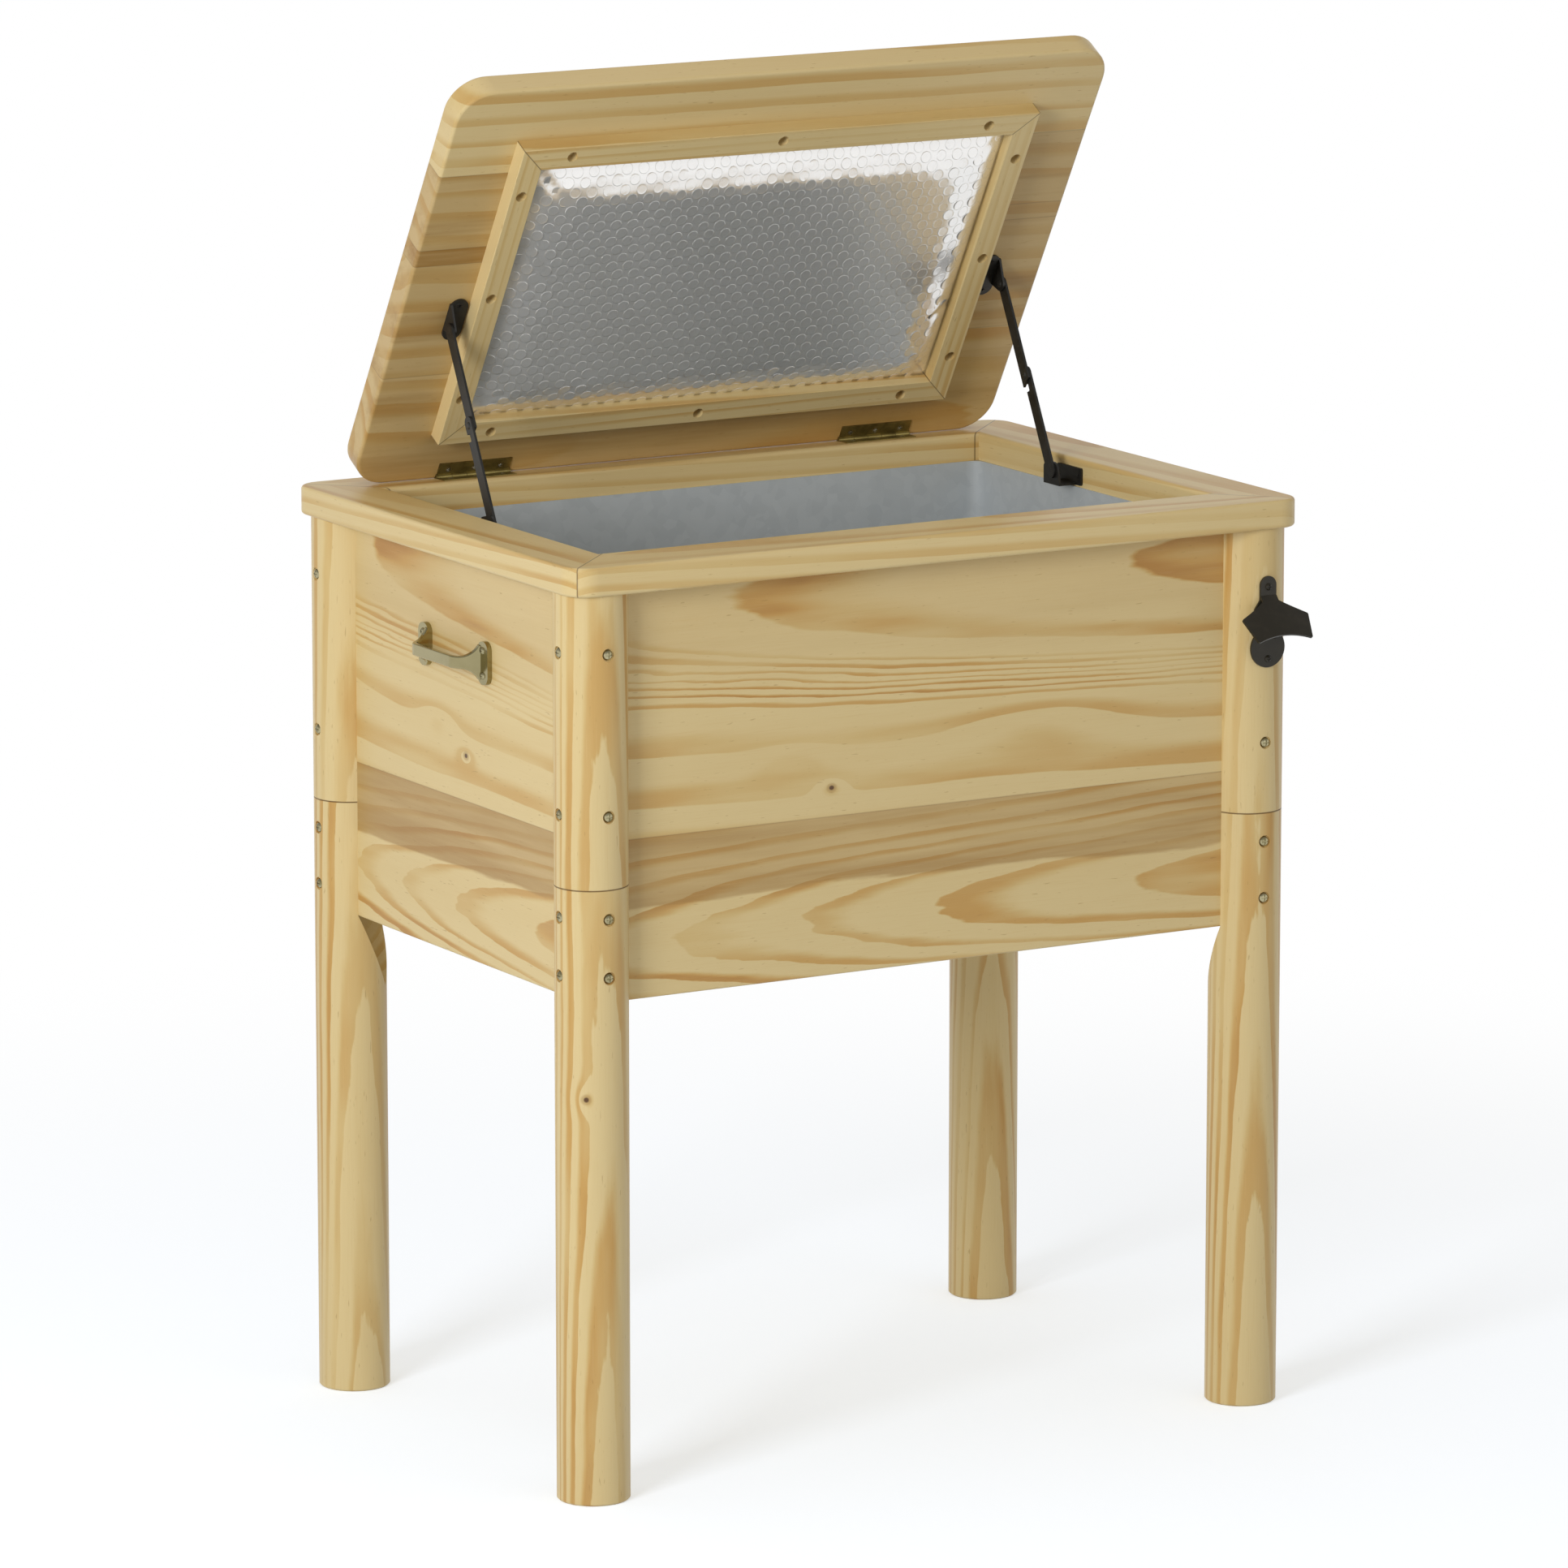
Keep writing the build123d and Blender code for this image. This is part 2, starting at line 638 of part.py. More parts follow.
cap_radius = drain_radius + pin_play + cap_wall
with BuildPart() as drain_cap:
    with BuildSketch(Plane.XY.offset(drain_low - fit_gap - cap_wall)):
        with Locations((drain_x, drain_y)):
            Circle(cap_radius)
            with PolarLocations(cap_radius, cap_grip_count):
                Circle(cap_grip_radius)
    extrude(amount=cap_height)
    bore(
        Plane.XY.offset(drain_low - fit_gap - cap_wall + cap_height),
        drain_x,
        drain_y,
        drain_radius + pin_play,
        cap_height - cap_wall,
    )
write(drain_cap, "drain_cap")

# Lid board
underside = lid_gap / 2
lid_screw_places = [
    (side * (hinge_x + x), -leaf_screw_inset) for side in (-1, 1) for x in leaf_screw_xs
]
lid_bracket_x = lid_ear_layer[1] - bracket_width / 2
lid_bracket_places = [
    (side * lid_bracket_x, -(stay_lid_reach + bracket_pivot_offset + row * bracket_screw_pitch / 2))
    for side in (-1, 1)
    for row in (-1, 1)
]
bar_hole_y_rear = -(frame_rear_reach + bar_hole_inset)
bar_hole_y_front = -(frame_front_reach - bar_hole_inset)
bar_hole_x = frame_x - bar_hole_inset
long_hole_x = frame_x - bar_end_hole_inset
end_hole_ys = [
    bar_hole_y_rear - (bar_end_hole_inset - bar_hole_inset),
    (bar_hole_y_rear + bar_hole_y_front) / 2,
    bar_hole_y_front + (bar_end_hole_inset - bar_hole_inset),
]
frame_bars = {
    "frame_bar_rear": [(x, bar_hole_y_rear) for x in (-long_hole_x, 0, long_hole_x)],
    "frame_bar_front": [(x, bar_hole_y_front) for x in (-long_hole_x, 0, long_hole_x)],
    "frame_bar_left": [(-bar_hole_x, y) for y in end_hole_ys],
    "frame_bar_right": [(bar_hole_x, y) for y in end_hole_ys],
}
bar_bottom = underside - bar_thickness
bar_screw_seat = bar_bottom + bar_hole_depth
bar_screw_length = underside - bar_screw_seat + bar_screw_bite

with BuildPart() as lid_board:
    with BuildSketch(lid_plane(underside)):
        with Locations((0, lid_rear_overhang - lid_depth / 2)):
            RectangleRounded(2 * lid_x, lid_depth, lid_corner_radius)
    extrude(amount=lid_thickness)
    lid_faces = lid_board.faces().sort_by(lid_up)
    fillet(lid_faces[0].edges() + lid_faces[-1].edges(), lid_arris)
    for side in (-1, 1):
        start_x = side * hinge_x - hinge_length / 2 - fit_gap
        with BuildSketch(side_plane(start_x - hinge_pin_head)):
            with Locations((hinge_y, hinge_z)):
                Circle(trough_radius)
        extrude(amount=hinge_length + 2 * (fit_gap + hinge_pin_head), mode=Mode.SUBTRACT)
        with BuildSketch(lid_plane(-leaf_low)):
            with Locations((side * hinge_x, -leaf_width / 2)):
                Rectangle(hinge_length + 2 * fit_gap, leaf_width + 2 * fit_gap)
        extrude(amount=leaf_low, mode=Mode.SUBTRACT)
    hole_depth = wood_screw_length + snug_gap
    for x, y in lid_screw_places + lid_bracket_places:
        bore(lid_plane(underside + hole_depth), x, y, wood_hole_radius, hole_depth)
    for holes in frame_bars.values():
        for x, y in holes:
            bore(
                lid_plane(underside + bar_screw_bite + snug_gap),
                x,
                y,
                wood_hole_radius,
                bar_screw_bite + snug_gap,
            )
write(lid_board, "lid_board")

# Frame of four mitred bars under the lid, and the foil-faced pad inside it
pad_x = frame_x - bar_width
pad_rear_reach = frame_rear_reach + bar_width
pad_front_reach = frame_front_reach - bar_width
pad_middle = -(frame_rear_reach + frame_front_reach) / 2


def frame_corner(corner, inset):
    """A corner of the lid frame in the lid's plane, moved in by an inset."""
    sx, sy = corner
    reach = frame_rear_reach + inset if sy > 0 else frame_front_reach - inset
    return (sx * (frame_x - inset), -reach)


with BuildPart() as bar_ring:
    with BuildSketch(lid_plane(bar_bottom)):
        with Locations((0, pad_middle)):
            Rectangle(2 * frame_x, frame_front_reach - frame_rear_reach)
            Rectangle(2 * pad_x, pad_front_reach - pad_rear_reach, mode=Mode.SUBTRACT)
    extrude(amount=bar_thickness)
    fillet(bar_ring.faces().sort_by(lid_up)[0].edges(), bar_arris)

bar_ends = {
    "frame_bar_front": ((-1, -1), (1, -1)),
    "frame_bar_right": ((1, -1), (1, 1)),
    "frame_bar_rear": ((1, 1), (-1, 1)),
    "frame_bar_left": ((-1, 1), (-1, -1)),
}
for name, (start, end) in bar_ends.items():
    outline = (
        frame_corner(start, bar_width),
        frame_corner(start, 0),
        frame_corner(end, 0),
        frame_corner(end, bar_width),
    )
    with BuildPart() as bar:
        add(bar_ring.part)
        with BuildSketch(lid_plane(bar_bottom)):
            Polygon(*outline, align=None)
        extrude(amount=bar_thickness, mode=Mode.INTERSECT)
        for x, y in frame_bars[name]:
            bore(lid_plane(bar_screw_seat), x, y, bar_hole_radius, bar_hole_depth)
            bore(lid_plane(underside), x, y, wood_hole_radius, bar_thickness)
    write(bar, name)

bar_screw = make_screw(
    wood_screw_head_radius, pan_head_height, wood_screw_shank_radius, bar_screw_length, False
)
bar_seats = [placed(lid_under(bar_screw_seat), x, -y) for holes in frame_bars.values() for x, y in holes]
screw_group("frame_screws", bar_screw, bar_seats)

with BuildPart() as foil_pad:
    for depth, inset in (
        (0, pad_gap),
        (pad_edge_depth, pad_gap),
        (pad_shoulder_depth, pad_shoulder),
        (pad_depth, pad_crown_inset),
    ):
        with BuildSketch(lid_plane(underside - depth)):
            with Locations((0, pad_middle)):
                Rectangle(2 * (pad_x - inset), pad_front_reach - pad_rear_reach - 2 * inset)
    loft(ruled=True)
write(foil_pad, "foil_pad")

# Two butt hinges
rim_leaf_plane = Plane(origin=(0, hinge_y, hinge_z), x_dir=(1, 0, 0), z_dir=(0, 0, 1))
leaf_sink_radius = leaf_screw_head_radius + snug_gap
leaf_screw = make_screw(leaf_screw_head_radius, 0, wood_screw_shank_radius, wood_screw_length, True)
odd_knuckles = range(0, knuckle_count, 2)
even_knuckles = range(1, knuckle_count, 2)
leaf_screw_seats = {"rim": [], "lid": []}
for side_name, side in sides.items():
    for base_name, plane, low, knuckles in (
        ("rim", rim_leaf_plane, leaf_low, even_knuckles),
        ("lid", lid_plane(0), leaf_gap / 2, odd_knuckles),
    ):
        shown = rim_leaf_plane.offset(-leaf_gap / 2) if base_name == "rim" else lid_under(leaf_gap / 2)
        toward = -1 if base_name == "rim" else 1
        seats = [placed(shown, side * hinge_x + x, toward * leaf_screw_inset) for x in leaf_screw_xs]
        leaf_screw_seats[base_name] += seats
        with BuildPart() as leaf:
            with BuildSketch(plane.offset(low)):
                with Locations((side * hinge_x, -(leaf_width + trough_radius) / 2)):
                    Rectangle(hinge_length, leaf_width - trough_radius)
                for index in knuckles:
                    middle = side * hinge_x + (index - (knuckle_count - 1) / 2) * knuckle_length
                    with Locations((middle, -trough_radius / 2)):
                        Rectangle(knuckle_length - knuckle_gap, trough_radius)
            extrude(amount=leaf_thickness)
            for index in knuckles:
                start_x = side * hinge_x + (index - knuckle_count / 2) * knuckle_length + knuckle_gap / 2
                with BuildSketch(side_plane(start_x)):
                    with Locations((hinge_y, hinge_z)):
                        Circle(barrel_radius)
                extrude(amount=knuckle_length - knuckle_gap)
            with BuildSketch(side_plane(side * hinge_x - hinge_length / 2)):
                with Locations((hinge_y, hinge_z)):
                    Circle(hinge_pin_radius + pin_play)
            extrude(amount=hinge_length, mode=Mode.SUBTRACT)
            for seat in seats:
                with Locations(seat.location):
                    CounterSinkHole(wood_hole_radius, leaf_sink_radius, counter_sink_angle=90)
        write(leaf, f"hinge_{base_name}_leaf_{side_name}")
for base_name, seats in leaf_screw_seats.items():
    screw_group(f"hinge_{base_name}_screws", leaf_screw, seats)

with BuildPart() as hinge_pins:
    for side in (-1, 1):
        start_x = side * hinge_x - hinge_length / 2
        with BuildSketch(side_plane(start_x)):
            with Locations((hinge_y, hinge_z)):
                Circle(hinge_pin_radius)
        extrude(amount=hinge_length)
        for end_x in (start_x, start_x + hinge_length + hinge_pin_head):
            with BuildSketch(side_plane(end_x - hinge_pin_head)):
                with Locations((hinge_y, hinge_z)):
                    Circle(barrel_radius)
            extrude(amount=hinge_pin_head)
write(hinge_pins, "hinge_pins")

# Folding stays: a bracket on the lid, two links, and a bracket on the rim, all joined by rivets
span_y = lid_pivot[0] - rim_pivot[0]
span_z = lid_pivot[1] - rim_pivot[1]
stay_span = hypot(span_y, span_z)
lower_link_length = (stay_span + stay_rim_reach - stay_lid_reach) / 2
upper_link_length = stay_span - lower_link_length
elbow = (
    rim_pivot[0] + span_y * lower_link_length / stay_span,
    rim_pivot[1] + span_z * lower_link_length / stay_span,
)
rivet_hole_radius = rivet_radius + pin_play
rivet_flare = rivet_head_radius - rivet_radius


def link_plane(x, start, direction):
    """A plane across X whose local X runs along a straight stay from one of its pivots."""
    along = (0, direction * span_y, direction * span_z)
    return Plane(origin=(x, start[0], start[1]), x_dir=along, z_dir=(1, 0, 0))


def make_rivet(length, flush_end):
    """A rivet along Z: its domed head seats at zero, and its far end may be flared flush."""
    shank = [(rivet_head_radius, 0), (rivet_radius, 0)]
    if flush_end:
        shank += [(rivet_radius, rivet_flare - length), (rivet_head_radius, -length)]
    else:
        shank += [(rivet_radius, -length)]
    with BuildPart() as rivet:
        with BuildSketch(Plane.XZ):
            with BuildLine():
                ThreePointArc(
                    (0, rivet_head_height),
                    (rivet_head_radius * sin(radians(40)), rivet_head_height * cos(radians(40))),
                    (rivet_head_radius, 0),
                )
                Polyline(*shank, (0, -length), (0, rivet_head_height))
            make_face()
        revolve(axis=Axis.Z)
    return rivet.part


def rivet_plane(side, distance, pivot, outwards):
    """A plane across X at a pivot and a distance from the middle, facing away from the middle or to it."""
    return Plane(
        origin=(side * distance, pivot[0], pivot[1]), x_dir=(0, 1, 0), z_dir=(side * outwards, 0, 0)
    )


pivot_rivet = make_rivet(bracket_thickness + link_gap + link_thickness, True)
elbow_rivet = make_rivet(link_thickness, False)
rim_plate_low = opening_x - bracket_thickness
inner_faces = {
    side: Plane(origin=(side * rim_plate_low, 0, 0), x_dir=(0, 1, 0), z_dir=(-side, 0, 0))
    for side in (-1, 1)
}
rim_plate_middle = (rim_pivot[0], rim_bracket_screw_z)
lid_plate_y = -(stay_lid_reach + bracket_pivot_offset)
for side_name, side in sides.items():
    lower_x = low_x(side, *lower_layer)
    upper_x = low_x(side, *upper_layer)
    with BuildPart() as lower_link:
        with BuildSketch(link_plane(lower_x, rim_pivot, 1)):
            with Locations(((lower_link_length + lower_link_nose) / 2, 0)):
                SlotOverall(lower_link_length + lower_link_nose + link_width, link_width)
            notch_middle = lower_link_length - (elbow_notch_start + elbow_notch_end) / 2
            with Locations((notch_middle, -link_width / 2)):
                RectangleRounded(
                    elbow_notch_end - elbow_notch_start,
                    2 * elbow_notch_depth,
                    elbow_notch_radius,
                    mode=Mode.SUBTRACT,
                )
            with Locations((0, 0), (lower_link_length, 0)):
                Circle(rivet_hole_radius, mode=Mode.SUBTRACT)
        extrude(amount=link_thickness)
        with Locations(rivet_plane(side, lower_layer[0], rim_pivot, -1).location):
            CounterSinkHole(rivet_hole_radius, rivet_head_radius + pin_play, counter_sink_angle=90)
    write(lower_link, f"stay_lower_link_{side_name}")

    with BuildPart() as upper_link:
        with BuildSketch(link_plane(upper_x, lid_pivot, -1)):
            Circle(link_width / 2)
            with BuildLine():
                Polyline(
                    (0, -link_width / 2),
                    (upper_link_length + upper_link_heel, -link_width / 2),
                    (upper_link_length + upper_link_tip, link_width / 2),
                    (0, link_width / 2),
                    close=True,
                )
            make_face()
            with Locations((0, 0), (upper_link_length, 0)):
                Circle(rivet_hole_radius, mode=Mode.SUBTRACT)
        extrude(amount=link_thickness)
        with Locations(rivet_plane(side, upper_layer[1], lid_pivot, 1).location):
            CounterSinkHole(rivet_hole_radius, rivet_head_radius + pin_play, counter_sink_angle=90)
    write(upper_link, f"stay_upper_link_{side_name}")

    with BuildPart() as lid_bracket:
        with BuildSketch(lid_plane(underside - bracket_thickness)):
            with Locations((side * lid_bracket_x, lid_plate_y)):
                SlotOverall(bracket_length, bracket_width, rotation=90)
        extrude(amount=bracket_thickness)
        with BuildSketch(lid_side_plane(low_x(side, *lid_ear_layer))):
            with Locations((stay_lid_reach, stay_drop)):
                Circle(ear_radius)
            with Locations((stay_lid_reach + ear_base_shift, bracket_thickness / 2 - underside)):
                Rectangle(ear_base_length, bracket_thickness)
            make_hull()
            with Locations((stay_lid_reach, stay_drop)):
                Circle(rivet_hole_radius, mode=Mode.SUBTRACT)
        extrude(amount=bracket_thickness)
        for x, y in lid_bracket_places:
            if x * side > 0:
                with Locations(placed(lid_under(underside - bracket_thickness), x, -y).location):
                    CounterSinkHole(wood_hole_radius, flush_sink_radius, counter_sink_angle=90)
    write(lid_bracket, f"stay_lid_bracket_{side_name}")

    with BuildPart() as rim_bracket:
        with BuildSketch(side_plane(low_x(side, rim_plate_low, opening_x))):
            with Locations(rim_plate_middle):
                RectangleRounded(rim_bracket_length, rim_bracket_width, rim_bracket_corner_radius)
        extrude(amount=bracket_thickness)
        web_middle = (rim_ear_layer[0] + opening_x) / 2
        with BuildSketch(Plane.XY.offset(rim_bracket_low)):
            with Locations((side * web_middle, rim_pivot[0] + rim_ear_shift)):
                Rectangle(opening_x - rim_ear_layer[0], rim_ear_length)
        extrude(amount=bracket_thickness)
        with BuildSketch(side_plane(low_x(side, *rim_ear_layer))):
            with Locations(rim_pivot):
                Circle(rim_ear_radius)
            with Locations((rim_pivot[0] + rim_ear_shift, rim_bracket_low + bracket_thickness / 2)):
                Rectangle(rim_ear_length, bracket_thickness)
            with Locations((rim_pivot[0] + rim_ear_shoulder_reach, rim_pivot[1] + rim_ear_shoulder_rise)):
                Circle(rim_ear_shoulder_radius)
            make_hull()
            with Locations(rim_pivot):
                Circle(rivet_hole_radius, mode=Mode.SUBTRACT)
        extrude(amount=bracket_thickness)
        for y in rim_bracket_screw_ys:
            with Locations(placed(inner_faces[side], y, -side * rim_bracket_screw_z).location):
                CounterSinkHole(
                    wood_hole_radius, flush_sink_radius, depth=wood_screw_length, counter_sink_angle=90
                )
    write(rim_bracket, f"stay_rim_bracket_{side_name}")

    for name, seat in (
        ("lower", rivet_plane(side, lower_layer[1], elbow, 1)),
        ("upper", rivet_plane(side, upper_layer[0], elbow, -1)),
    ):
        with BuildPart() as half_rivet:
            with Locations(seat.location):
                add(elbow_rivet)
        write(half_rivet, f"stay_elbow_{name}_half_{side_name}")

rim_rivet_planes = [rivet_plane(side, rim_ear_layer[1], rim_pivot, 1) for side in (-1, 1)]
lid_rivet_planes = [rivet_plane(side, lid_ear_layer[0], lid_pivot, -1) for side in (-1, 1)]
screw_group("stay_rim_rivets", pivot_rivet, rim_rivet_planes)
screw_group("stay_lid_rivets", pivot_rivet, lid_rivet_planes)
screw_group(
    "stay_rim_screws",
    flush_screw,
    [
        placed(inner_faces[side], y, -side * rim_bracket_screw_z)
        for side in (-1, 1)
        for y in rim_bracket_screw_ys
    ],
)
screw_group(
    "stay_lid_screws",
    flush_screw,
    [placed(lid_under(underside - bracket_thickness), x, -y) for x, y in lid_bracket_places],
)

# Side handles: two foot plates and a flared grip in one casting
grip_out = grip_projection - grip_thickness / 2
handle_seats = []
for side_name, side in sides.items():
    with BuildPart() as handle:
        with BuildSketch(Plane.XY.offset(handle_z)):
            with BuildLine():
                ends = handle_foot_pitch / 2
                roots = ends - grip_leg_inset
                FilletPolyline(
                    (side * (panel_x + foot_plate_thickness / 2), handle_y - roots),
                    (side * (panel_x + grip_out), handle_y - roots + grip_splay),
                    (side * (panel_x + grip_out), handle_y + roots - grip_splay),
                    (side * (panel_x + foot_plate_thickness / 2), handle_y + roots),
                    radius=grip_corner_radius,
                )
            trace(line_width=grip_thickness)
        extrude(amount=foot_plate_height / 2, both=True)
        grip_profile = Plane(
            (side * panel_x, handle_y, handle_z), x_dir=(side, 0, 0), z_dir=(0, -side, 0)
        )
        with BuildSketch(grip_profile):
            with BuildLine():
                flare = JernArc(
                    (grip_flare_out, grip_height / 2), (-1, 0), grip_flare_radius, -grip_flare_angle
                )
                Polyline(flare @ 1, (0, (flare @ 1).Y), (0, 0), (grip_projection, 0))
                Polyline((grip_projection, 0), (grip_projection, grip_height / 2), flare @ 0)
            make_face()
            mirror(about=Plane.XZ)
        extrude(amount=handle_foot_pitch, both=True, mode=Mode.INTERSECT)
        fillet(handle.edges(), radius=grip_edge_radius)
        with BuildSketch(handle_plane(side, 0)):
            with Locations((handle_y - ends, side * handle_z), (handle_y + ends, side * handle_z)):
                RectangleRounded(foot_plate_width, foot_plate_height, foot_plate_corner_radius)
        extrude(amount=foot_plate_thickness)
        for y, z in handle_screw_places:
            seat = placed(handle_plane(side, foot_plate_thickness), y, side * z)
            handle_seats.append(seat)
            bore(seat.offset(grip_projection), 0, 0, foot_screw_clearance, grip_projection)
            bore(seat, 0, 0, wood_hole_radius, foot_plate_thickness)
    write(handle, f"handle_{side_name}")
screw_group("handle_screws", pan_screw, handle_seats)

# Bottle opener: one bent sheet with a back plate, a window and a sloping hood
leg_front = -(leg_y + leg_radius)
opener_face = Plane(origin=(leg_x, leg_front - opener_sheet, 0), x_dir=(1, 0, 0), z_dir=(0, -1, 0))
slope = Vector(0, -sin(radians(hood_angle)), -cos(radians(hood_angle)))
bend = (leg_x, leg_front - opener_sheet, opener_bend)
hood_plane = Plane(origin=bend, x_dir=(1, 0, 0), z_dir=(0, slope.Z, -slope.Y))
tab_half = opener_tab_width / 2
tongue_half = opener_tongue_width / 2
tongue_height = opener_bottom + tongue_half
arm_half = opener_arm_width / 2
with BuildPart() as bottle_opener:
    with BuildSketch(Plane(origin=bend, x_dir=(1, 0, 0), z_dir=slope)):
        with Locations((0, -hood_curve_radius)):
            Circle(hood_curve_radius)
            Circle(hood_curve_radius - opener_sheet, mode=Mode.SUBTRACT)
        Rectangle(2 * hood_length, hood_curve_radius, mode=Mode.INTERSECT)
    extrude(amount=hood_length)
    with BuildSketch(hood_plane.offset(-hood_length)) as hood_outline:
        with BuildLine():
            Polyline(
                (-tab_half, -hood_neck_reach), (-tab_half, 0), (tab_half, 0), (tab_half, -hood_neck_reach)
            )
            Line((hood_wing_half_width, -hood_wing_reach), (hood_lip_half_width, -hood_length))
            Line((-hood_wing_half_width, -hood_wing_reach), (-hood_lip_half_width, -hood_length))
            for side in (-1, 1):
                ThreePointArc(
                    (side * tab_half, -hood_neck_reach),
                    (side * hood_shoulder_half_width, -hood_shoulder_reach),
                    (side * hood_wing_half_width, -hood_wing_reach),
                )
            ThreePointArc(
                (-hood_lip_half_width, -hood_length),
                (0, hood_lip_arch - hood_length),
                (hood_lip_half_width, -hood_length),
            )
        make_face()
        fillet(hood_outline.vertices().sort_by(Axis.Y)[:4], hood_corner_radius)
    extrude(amount=2 * hood_length, mode=Mode.INTERSECT)
    with BuildSketch(opener_face):
        with Locations((0, opener_top - tab_half)):
            Circle(tab_half)
        with Locations((0, tongue_height)):
            Circle(tongue_half)
        Polygon(
            (-tongue_half, tongue_height),
            (tongue_half, tongue_height),
            (arm_half, tongue_height + opener_arm_rise),
            (arm_half, opener_shoulder),
            (tab_half, opener_neck),
            (tab_half, opener_top - tab_half),
            (-tab_half, opener_top - tab_half),
            (-tab_half, opener_neck),
            (-arm_half, opener_shoulder),
            (-arm_half, tongue_height + opener_arm_rise),
            align=None,
        )
        with Locations((0, (opener_window_low + opener_window_high) / 2)):
            RectangleRounded(
                opener_window_width,
                opener_window_high - opener_window_low,
                opener_window_radius,
                mode=Mode.SUBTRACT,
            )
    extrude(amount=-opener_sheet)
    for height in (opener_screw_top, opener_screw_low):
        bore(opener_face, 0, height, wood_hole_radius, opener_sheet)
write(bottle_opener, "bottle_opener")
screw_group(
    "opener_screws",
    pan_screw,
    [placed(opener_face, 0, height) for height in (opener_screw_top, opener_screw_low)],
)
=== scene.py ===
import logging
import math
from collections.abc import Callable, Sequence
from dataclasses import dataclass
from enum import Enum

import bpy
import numpy as np
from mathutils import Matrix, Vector


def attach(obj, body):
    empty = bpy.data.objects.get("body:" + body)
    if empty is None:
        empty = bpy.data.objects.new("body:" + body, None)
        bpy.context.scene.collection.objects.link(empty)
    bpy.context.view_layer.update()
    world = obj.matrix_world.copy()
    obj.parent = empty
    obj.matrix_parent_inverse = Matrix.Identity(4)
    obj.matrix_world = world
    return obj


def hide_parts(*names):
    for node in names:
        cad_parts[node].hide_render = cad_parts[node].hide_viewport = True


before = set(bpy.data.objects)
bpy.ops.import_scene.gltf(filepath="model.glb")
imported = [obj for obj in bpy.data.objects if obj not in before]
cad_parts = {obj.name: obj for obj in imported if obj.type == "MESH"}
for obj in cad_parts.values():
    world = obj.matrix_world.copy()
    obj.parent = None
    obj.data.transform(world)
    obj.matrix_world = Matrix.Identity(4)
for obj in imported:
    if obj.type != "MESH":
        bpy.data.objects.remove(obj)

logging.basicConfig(level=logging.INFO, format="%(name)s: %(message)s")
log = logging.getLogger("cooler")

Socket = bpy.types.NodeSocket
Value = Socket | float | tuple
Lookup = Callable[[str], Value]

NOISE_MIDDLE = 0.5
DIAGONAL = math.sqrt(0.5)
HINGE = Vector((0, 0.2109, 0.79815))
LID_SLOPE = math.radians(59.8)


def srgb(red: float, green: float, blue: float) -> tuple[float, float, float, float]:
    """Turns a colour written as 0 to 255 screen values into linear light.

    Args:
        red, green, blue: the screen values.

    Returns:
        The linear colour with full opacity.
    """
    def linear(value: float) -> float:
        share = value / 255
        return share / 12.92 if share <= 0.04045 else ((share + 0.055) / 1.055) ** 2.4

    return linear(red), linear(green), linear(blue), 1.0


class Grain(Enum):
    """The way a board's grain runs, as the order of axes: along, across, through."""

    ALONG_X_ACROSS_Z = (0, 2, 1)
    ALONG_X_ACROSS_Y = (0, 1, 2)
    ALONG_Y_ACROSS_Z = (1, 2, 0)
    ALONG_Y_ACROSS_X = (1, 0, 2)
    ALONG_Z = (2, 0, 1)


class Reach(Enum):
    """What a lamp lights: plain shading, reflections or both."""

    SHADING = "shading"
    REFLECTIONS = "reflections"
    BOTH = "both"


